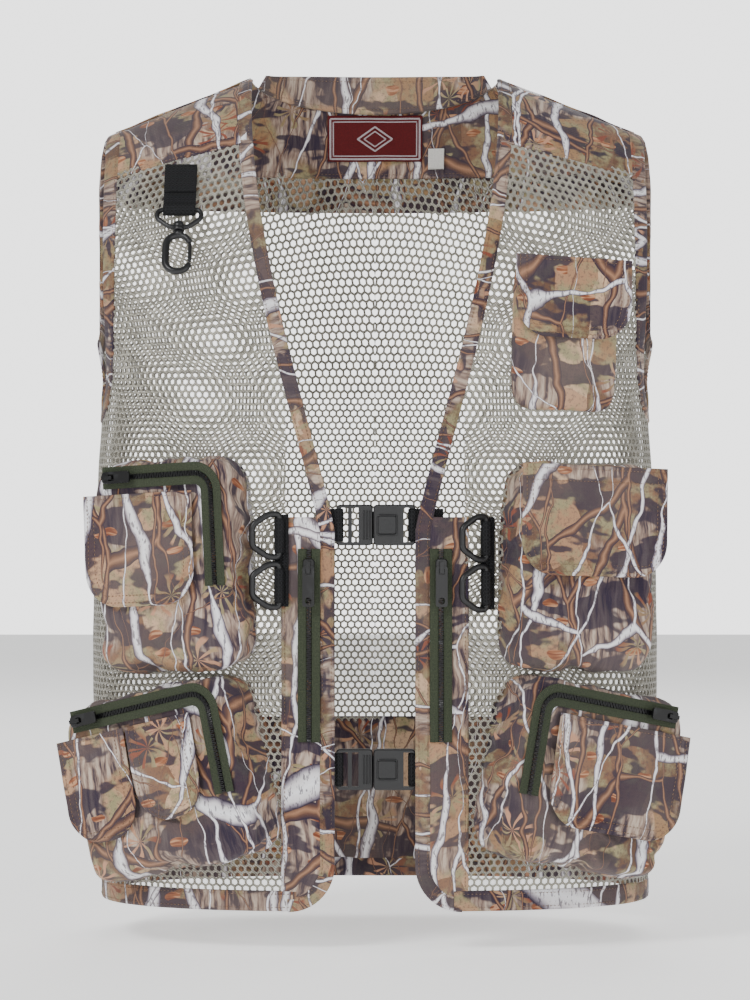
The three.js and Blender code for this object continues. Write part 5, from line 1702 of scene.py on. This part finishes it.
@dataclass
class SnapHook:
    """A moulded snap hook that swivels in an eye, on a short loop of webbing under the right yoke."""

    x: float = -150.0
    top: float = 570.0
    long: float = 42.0
    tilt: float = 11.0

    def build(self, form: BodyForm, finishes: Finishes) -> None:
        """Makes the strap, the eye, the hook and its gate."""
        over, under = (form.front(np.array(self.x), np.array(form.rise_at(self.x, z)))[0]
                       for z in (self.top, self.top - self.long))
        lean = -math.atan2(over[1] - under[1], over[2] - under[2]) - math.radians(self.tilt)
        c, s = math.cos(lean), math.sin(lean)
        seat = Seat(over + [0, -6.0, 0], np.array([[1, 0, 0], [0, c, -s], [0, s, c]]))
        arc = np.radians(np.linspace(100, 425, 34))
        loop = np.stack([3.7 * np.cos(arc), -self.long + 3.7 * np.sin(arc)], 1)
        fall = np.linspace(3, -self.long + 7, 14)
        flat = np.concatenate([np.stack([0 * fall, fall], 1), loop])
        path, across = columns_of(0.0, flat[:, 0], flat[:, 1]), np.array([1.0, 0, 0])
        normal = np.cross(across, unit(np.gradient(path, axis=0)))
        strap = seat_ribbon("hook_strap_webbing", seat, path, across, normal, (-12.5, 12.5), 1.6)
        dress(strap, finishes.webbing, "webbing", "vest", "hook_strap")
        front = columns_of(0.0, -1.7, fall[:10] - 2)
        fold = seat_ribbon("hook_strap_ply", seat, front, across, [0.0, -1, 0], (-12.4, 12.4), 1.5)
        dress(fold, finishes.webbing, "webbing", "vest")

        eye = seat.moved(z=-self.long)
        frame = closed_path([(16.2, 0), (-16.2, 0), (-17.4, -8), (-7, -16.9), (7, -16.9), (17.4, -8)], 13)
        collar = [(0, -21.2), (3.9, -21.2), (4.5, -20.6), (4.5, -18.4), (4.1, -18.0), (4.1, -17.6), (4.5, -17.2),
                  (4.5, -15.2), (3.9, -14.6), (0, -14.6)]
        piece = hard_piece("hook_eye_moulded", eye, [tube(frame, 1.9, 12, closed=True), turned(collar)])
        dress(piece, finishes.plastic, "black_plastic", "hook_eye", "hook_eye")

        hook = eye.moved(z=-21.2)
        curve = closed_path([(9.2, -3.3), (-9.2, -3.3), (-9.2, -38.7), (9.2, -38.7)], 31)
        start = int(np.argmin(np.hypot(curve[:, 0] - 9.2, curve[:, 2] + 11)))
        curve = np.roll(curve, -start, 0)
        gap = (curve[:, 0] > 7.5) & (curve[:, 2] < -11.5) & (curve[:, 2] > -30.4)
        curve = curve[~gap]
        seam = int(np.argmax(np.linalg.norm(np.diff(curve, axis=0), axis=1)))
        if np.linalg.norm(curve[seam + 1] - curve[seam]) > 4:
            curve = np.roll(curve, -(seam + 1), 0)
        along = np.linspace(0, 1, len(curve))
        girth = 2.35 + 0.5 * np.sin(math.pi * along) ** 2
        girth[:3] *= [0.55, 0.8, 0.95]
        girth[-3:] *= [0.95, 0.8, 0.55]
        stem = [(0, -1.5), (2.3, -1.5), (2.3, 6.9), (3.5, 6.9), (3.5, 8.1), (2.9, 8.5), (0, 8.5)]
        neck = [(0, -5.0), (3.0, -4.6), (4.0, -3.4), (3.6, -1.4), (2.6, -0.3), (0, -0.3)]
        parts = [tube(curve, girth, 12), turned(stem), turned(neck)]
        piece = hard_piece("snap_hook_moulded", hook, parts)
        dress(piece, finishes.plastic, "black_plastic", "snap_hook", "snap_hook")
        gate = hook.moved(9.2, 0, -30)
        z = np.linspace(0.9, 18.4, 16)
        size = np.full(16, 1.45)
        size[[0, -1]] = 1.0
        piece = hard_piece("hook_gate_moulded", gate, [tube(columns_of(0.0, 0.0, z), size, 12)])
        dress(piece, finishes.plastic, "black_plastic", "hook_gate", "hook_gate")


class BuckleLevel(Enum):
    """The two release buckles and their heights in mm."""

    UPPER = 294.0
    LOWER = 108.0


@dataclass
class ReleaseBuckle:
    """A centre-release buckle: its CAD shells keep their form, with a rim, ribs and folded webbing added."""

    face: float = 125.0
    wide: float = 12.4

    def web(self, name: str, seat: Seat, bar: float, end: float, body: str, node: str, finishes: Finishes) -> None:
        """Webbing from its end round a bar and back, in local x and y."""
        way = 1 if end > bar else -1
        arc = np.radians(np.linspace(62, 298, 26))
        loop = np.stack([bar + way * 3.0 * np.cos(arc), 4.9 + 2.75 * np.sin(arc)], 1)
        flat = np.concatenate([[[end, 5.9], [bar + way * 9, 5.9], [bar + way * 4, 6.6]], loop,
                               [[bar + way * 4, 3.3], [bar + way * 9, 4.2], [end, 4.3]]])
        path, up = columns_of(flat[:, 0], flat[:, 1], 0.0), np.array([0.0, 0, 1.0])
        normal = np.cross(unit(np.gradient(path, axis=0)), up)
        web = seat_ribbon(name, seat, path, up, normal, (-self.wide, self.wide), 1.25)
        dress(web, finishes.webbing, "webbing", body, node)

    def build(self, finishes: Finishes) -> None:
        """Dresses both buckles."""
        for level in BuckleLevel:
            word = level.name.lower()
            seat = Seat(np.array([0.0, -self.face, level.value]), np.eye(3))
            self.web(f"{word}_web_left", seat, 28.7, 52, "vest", f"buckle_{word}_web_left", finishes)
            plug = f"buckle_{word}_plug"
            self.web(f"{word}_web_right", seat, -27.6, -45, plug, f"buckle_{word}_web_right", finishes)
            rim = closed_path([(16.6, 7.6), (2.0, 7.6), (2.0, -7.6), (16.6, -7.6)], 9) + [0, -0.1, 0]
            piece = hard_piece(f"{word}_button_rim", seat, [tube(rim, 0.75, 8, closed=True)])
            dress(piece, finishes.plastic, "black_plastic", "vest")
            z = np.linspace(-11, 11, 12)
            bars = [tube(columns_of(x, 1.5, z), 0.6, 8) for x in (-4.0, -6.2, -8.4)]
            grip = hard_piece(f"{word}_plug_ribs", seat, bars)
            dress(grip, finishes.plastic, "black_plastic", plug)


@dataclass
class NeckLabel:
    """A woven neck label with a plain double border and a lozenge, and a blank size tag, sewn inside the back."""

    half: float = 39.0
    low: float = 592.0
    high: float = 628.0

    def build(self, form: BodyForm, panels: ClothPanels, finishes: Finishes) -> None:
        """Makes the label, its borders and the tag."""

        def inside(x: Array, z: Array, off: float) -> tuple[Array, Array]:
            """Places inside the back lining, off mm from it, and the directions away from it."""
            points, normal = form.front(np.where(x == 0, 1e-6, x), form.rise(x, z), back=True)
            points = panels.drape(points, normal, 31, 0.6)
            return points - normal * off, -normal

        x, z = np.meshgrid(np.linspace(-self.half, self.half, 50), np.linspace(self.low, self.high, 24))
        points, normal = inside(x, z, 0.5)
        patch = shell("neck_label", points * MM, 0, 0.7 * MM, cloth_uv(points * MM), normal)
        dress(outwards(patch), finishes.label, "label", "vest")
        middle = (self.low + self.high) / 2
        tall = (self.high - self.low) / 2
        rings = []
        for inset, wide in ((2.2, 0.8), (4.6, 0.5)):
            x, z = self.half - inset, tall - inset
            rings.append((closed_path([(x, z), (-x, z), (-x, -z), (x, -z)], 1), wide))
        for size, wide in ((9.5, 0.7), (6.0, 0.5)):
            rings.append((closed_path([(size * 1.5, 0), (0, size), (-size * 1.5, 0), (0, -size)], 1), wide))
        for number, (ring, wide) in enumerate(rings):
            path, out = inside(ring[:, 0], ring[:, 2] + middle, 1.25)
            path, out = np.concatenate([path, path[:1]]), np.concatenate([out, out[:1]])
            across = np.cross(unit(np.gradient(path, axis=0)), out)
            line = ribbon(f"label_line_{number}", path, across, out, (-wide, wide), 0.35, closed=True)
            dress(line, finishes.woven_grey, "label", "vest")
        x, z = np.meshgrid(np.linspace(44, 57, 14), np.linspace(586, 602, 12))
        points, normal = inside(x, z, 0.5)
        points += normal * (1.6 * np.sin(np.clip((602 - z) / 16, 0, 1) * 2.2)[..., None])
        tag = shell("size_tag", points * MM, 0, 0.5 * MM, cloth_uv(points * MM), normal)
        dress(outwards(tag), finishes.size_tag, "label", "vest")


@dataclass
class PlacketZips:
    """The two upright zips on the plackets."""

    x: float = 50.0
    bottom: float = 129.0
    top: float = 276.0

    def build(self, form: BodyForm, finishes: Finishes) -> None:
        """Makes both zips."""
        middle, half = (self.bottom + self.top) / 2, (self.top - self.bottom) / 2
        for side in Side:
            ends = sorted((side.value * (self.x - 8.5), side.value * (self.x + 8.5)))
            seat = form.frame(*ends, middle, 0)
            z = np.linspace(half, -half, 60)
            make_zip(f"placket_zip_{side.word}", seat, columns_of(0.0, -2.55, z), finishes)


def dress_frame_nodes(finishes: Finishes) -> None:
    """Gives the CAD nodes that stay in sight their finish: sliders and pulls in zinc, buckles in acetal."""
    for name in frame["nodes"]:
        if name.endswith(("_slider", "_pull")):
            finish = finishes.zinc
        elif name.endswith("_button"):
            finish = finishes.stippled
        elif name.startswith("buckle_") and "web" not in name:
            finish = finishes.plastic
        else:
            continue
        obj = bpy.data.objects[name]
        obj.data.materials.clear()
        obj.data.materials.append(finish)


def main() -> None:
    """Builds the vest round the frame, piece by piece."""
    logging.basicConfig(level=logging.INFO, format="%(message)s")
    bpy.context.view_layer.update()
    Studio().build()
    form, pattern, finishes, stitches = BodyForm(), Pattern(), Finishes.build(), Stitching()
    MeshPanel(form, pattern).build(finishes)
    panels = ClothPanels(form, pattern, finishes, stitches)
    panels.build()
    for pocket in pocket_set():
        pocket.build(form, finishes, stitches)
    PlacketZips().build(form, finishes)
    RingPair("ring_right", -72, 267).build(form, finishes)
    RingPair("ring_left", 84, 265).build(form, finishes)
    SnapHook().build(form, finishes)
    ReleaseBuckle().build(finishes)
    NeckLabel().build(form, panels, finishes)
    dress_frame_nodes(finishes)
    stitches.build(finishes)


if __name__ == "__main__":
    main()
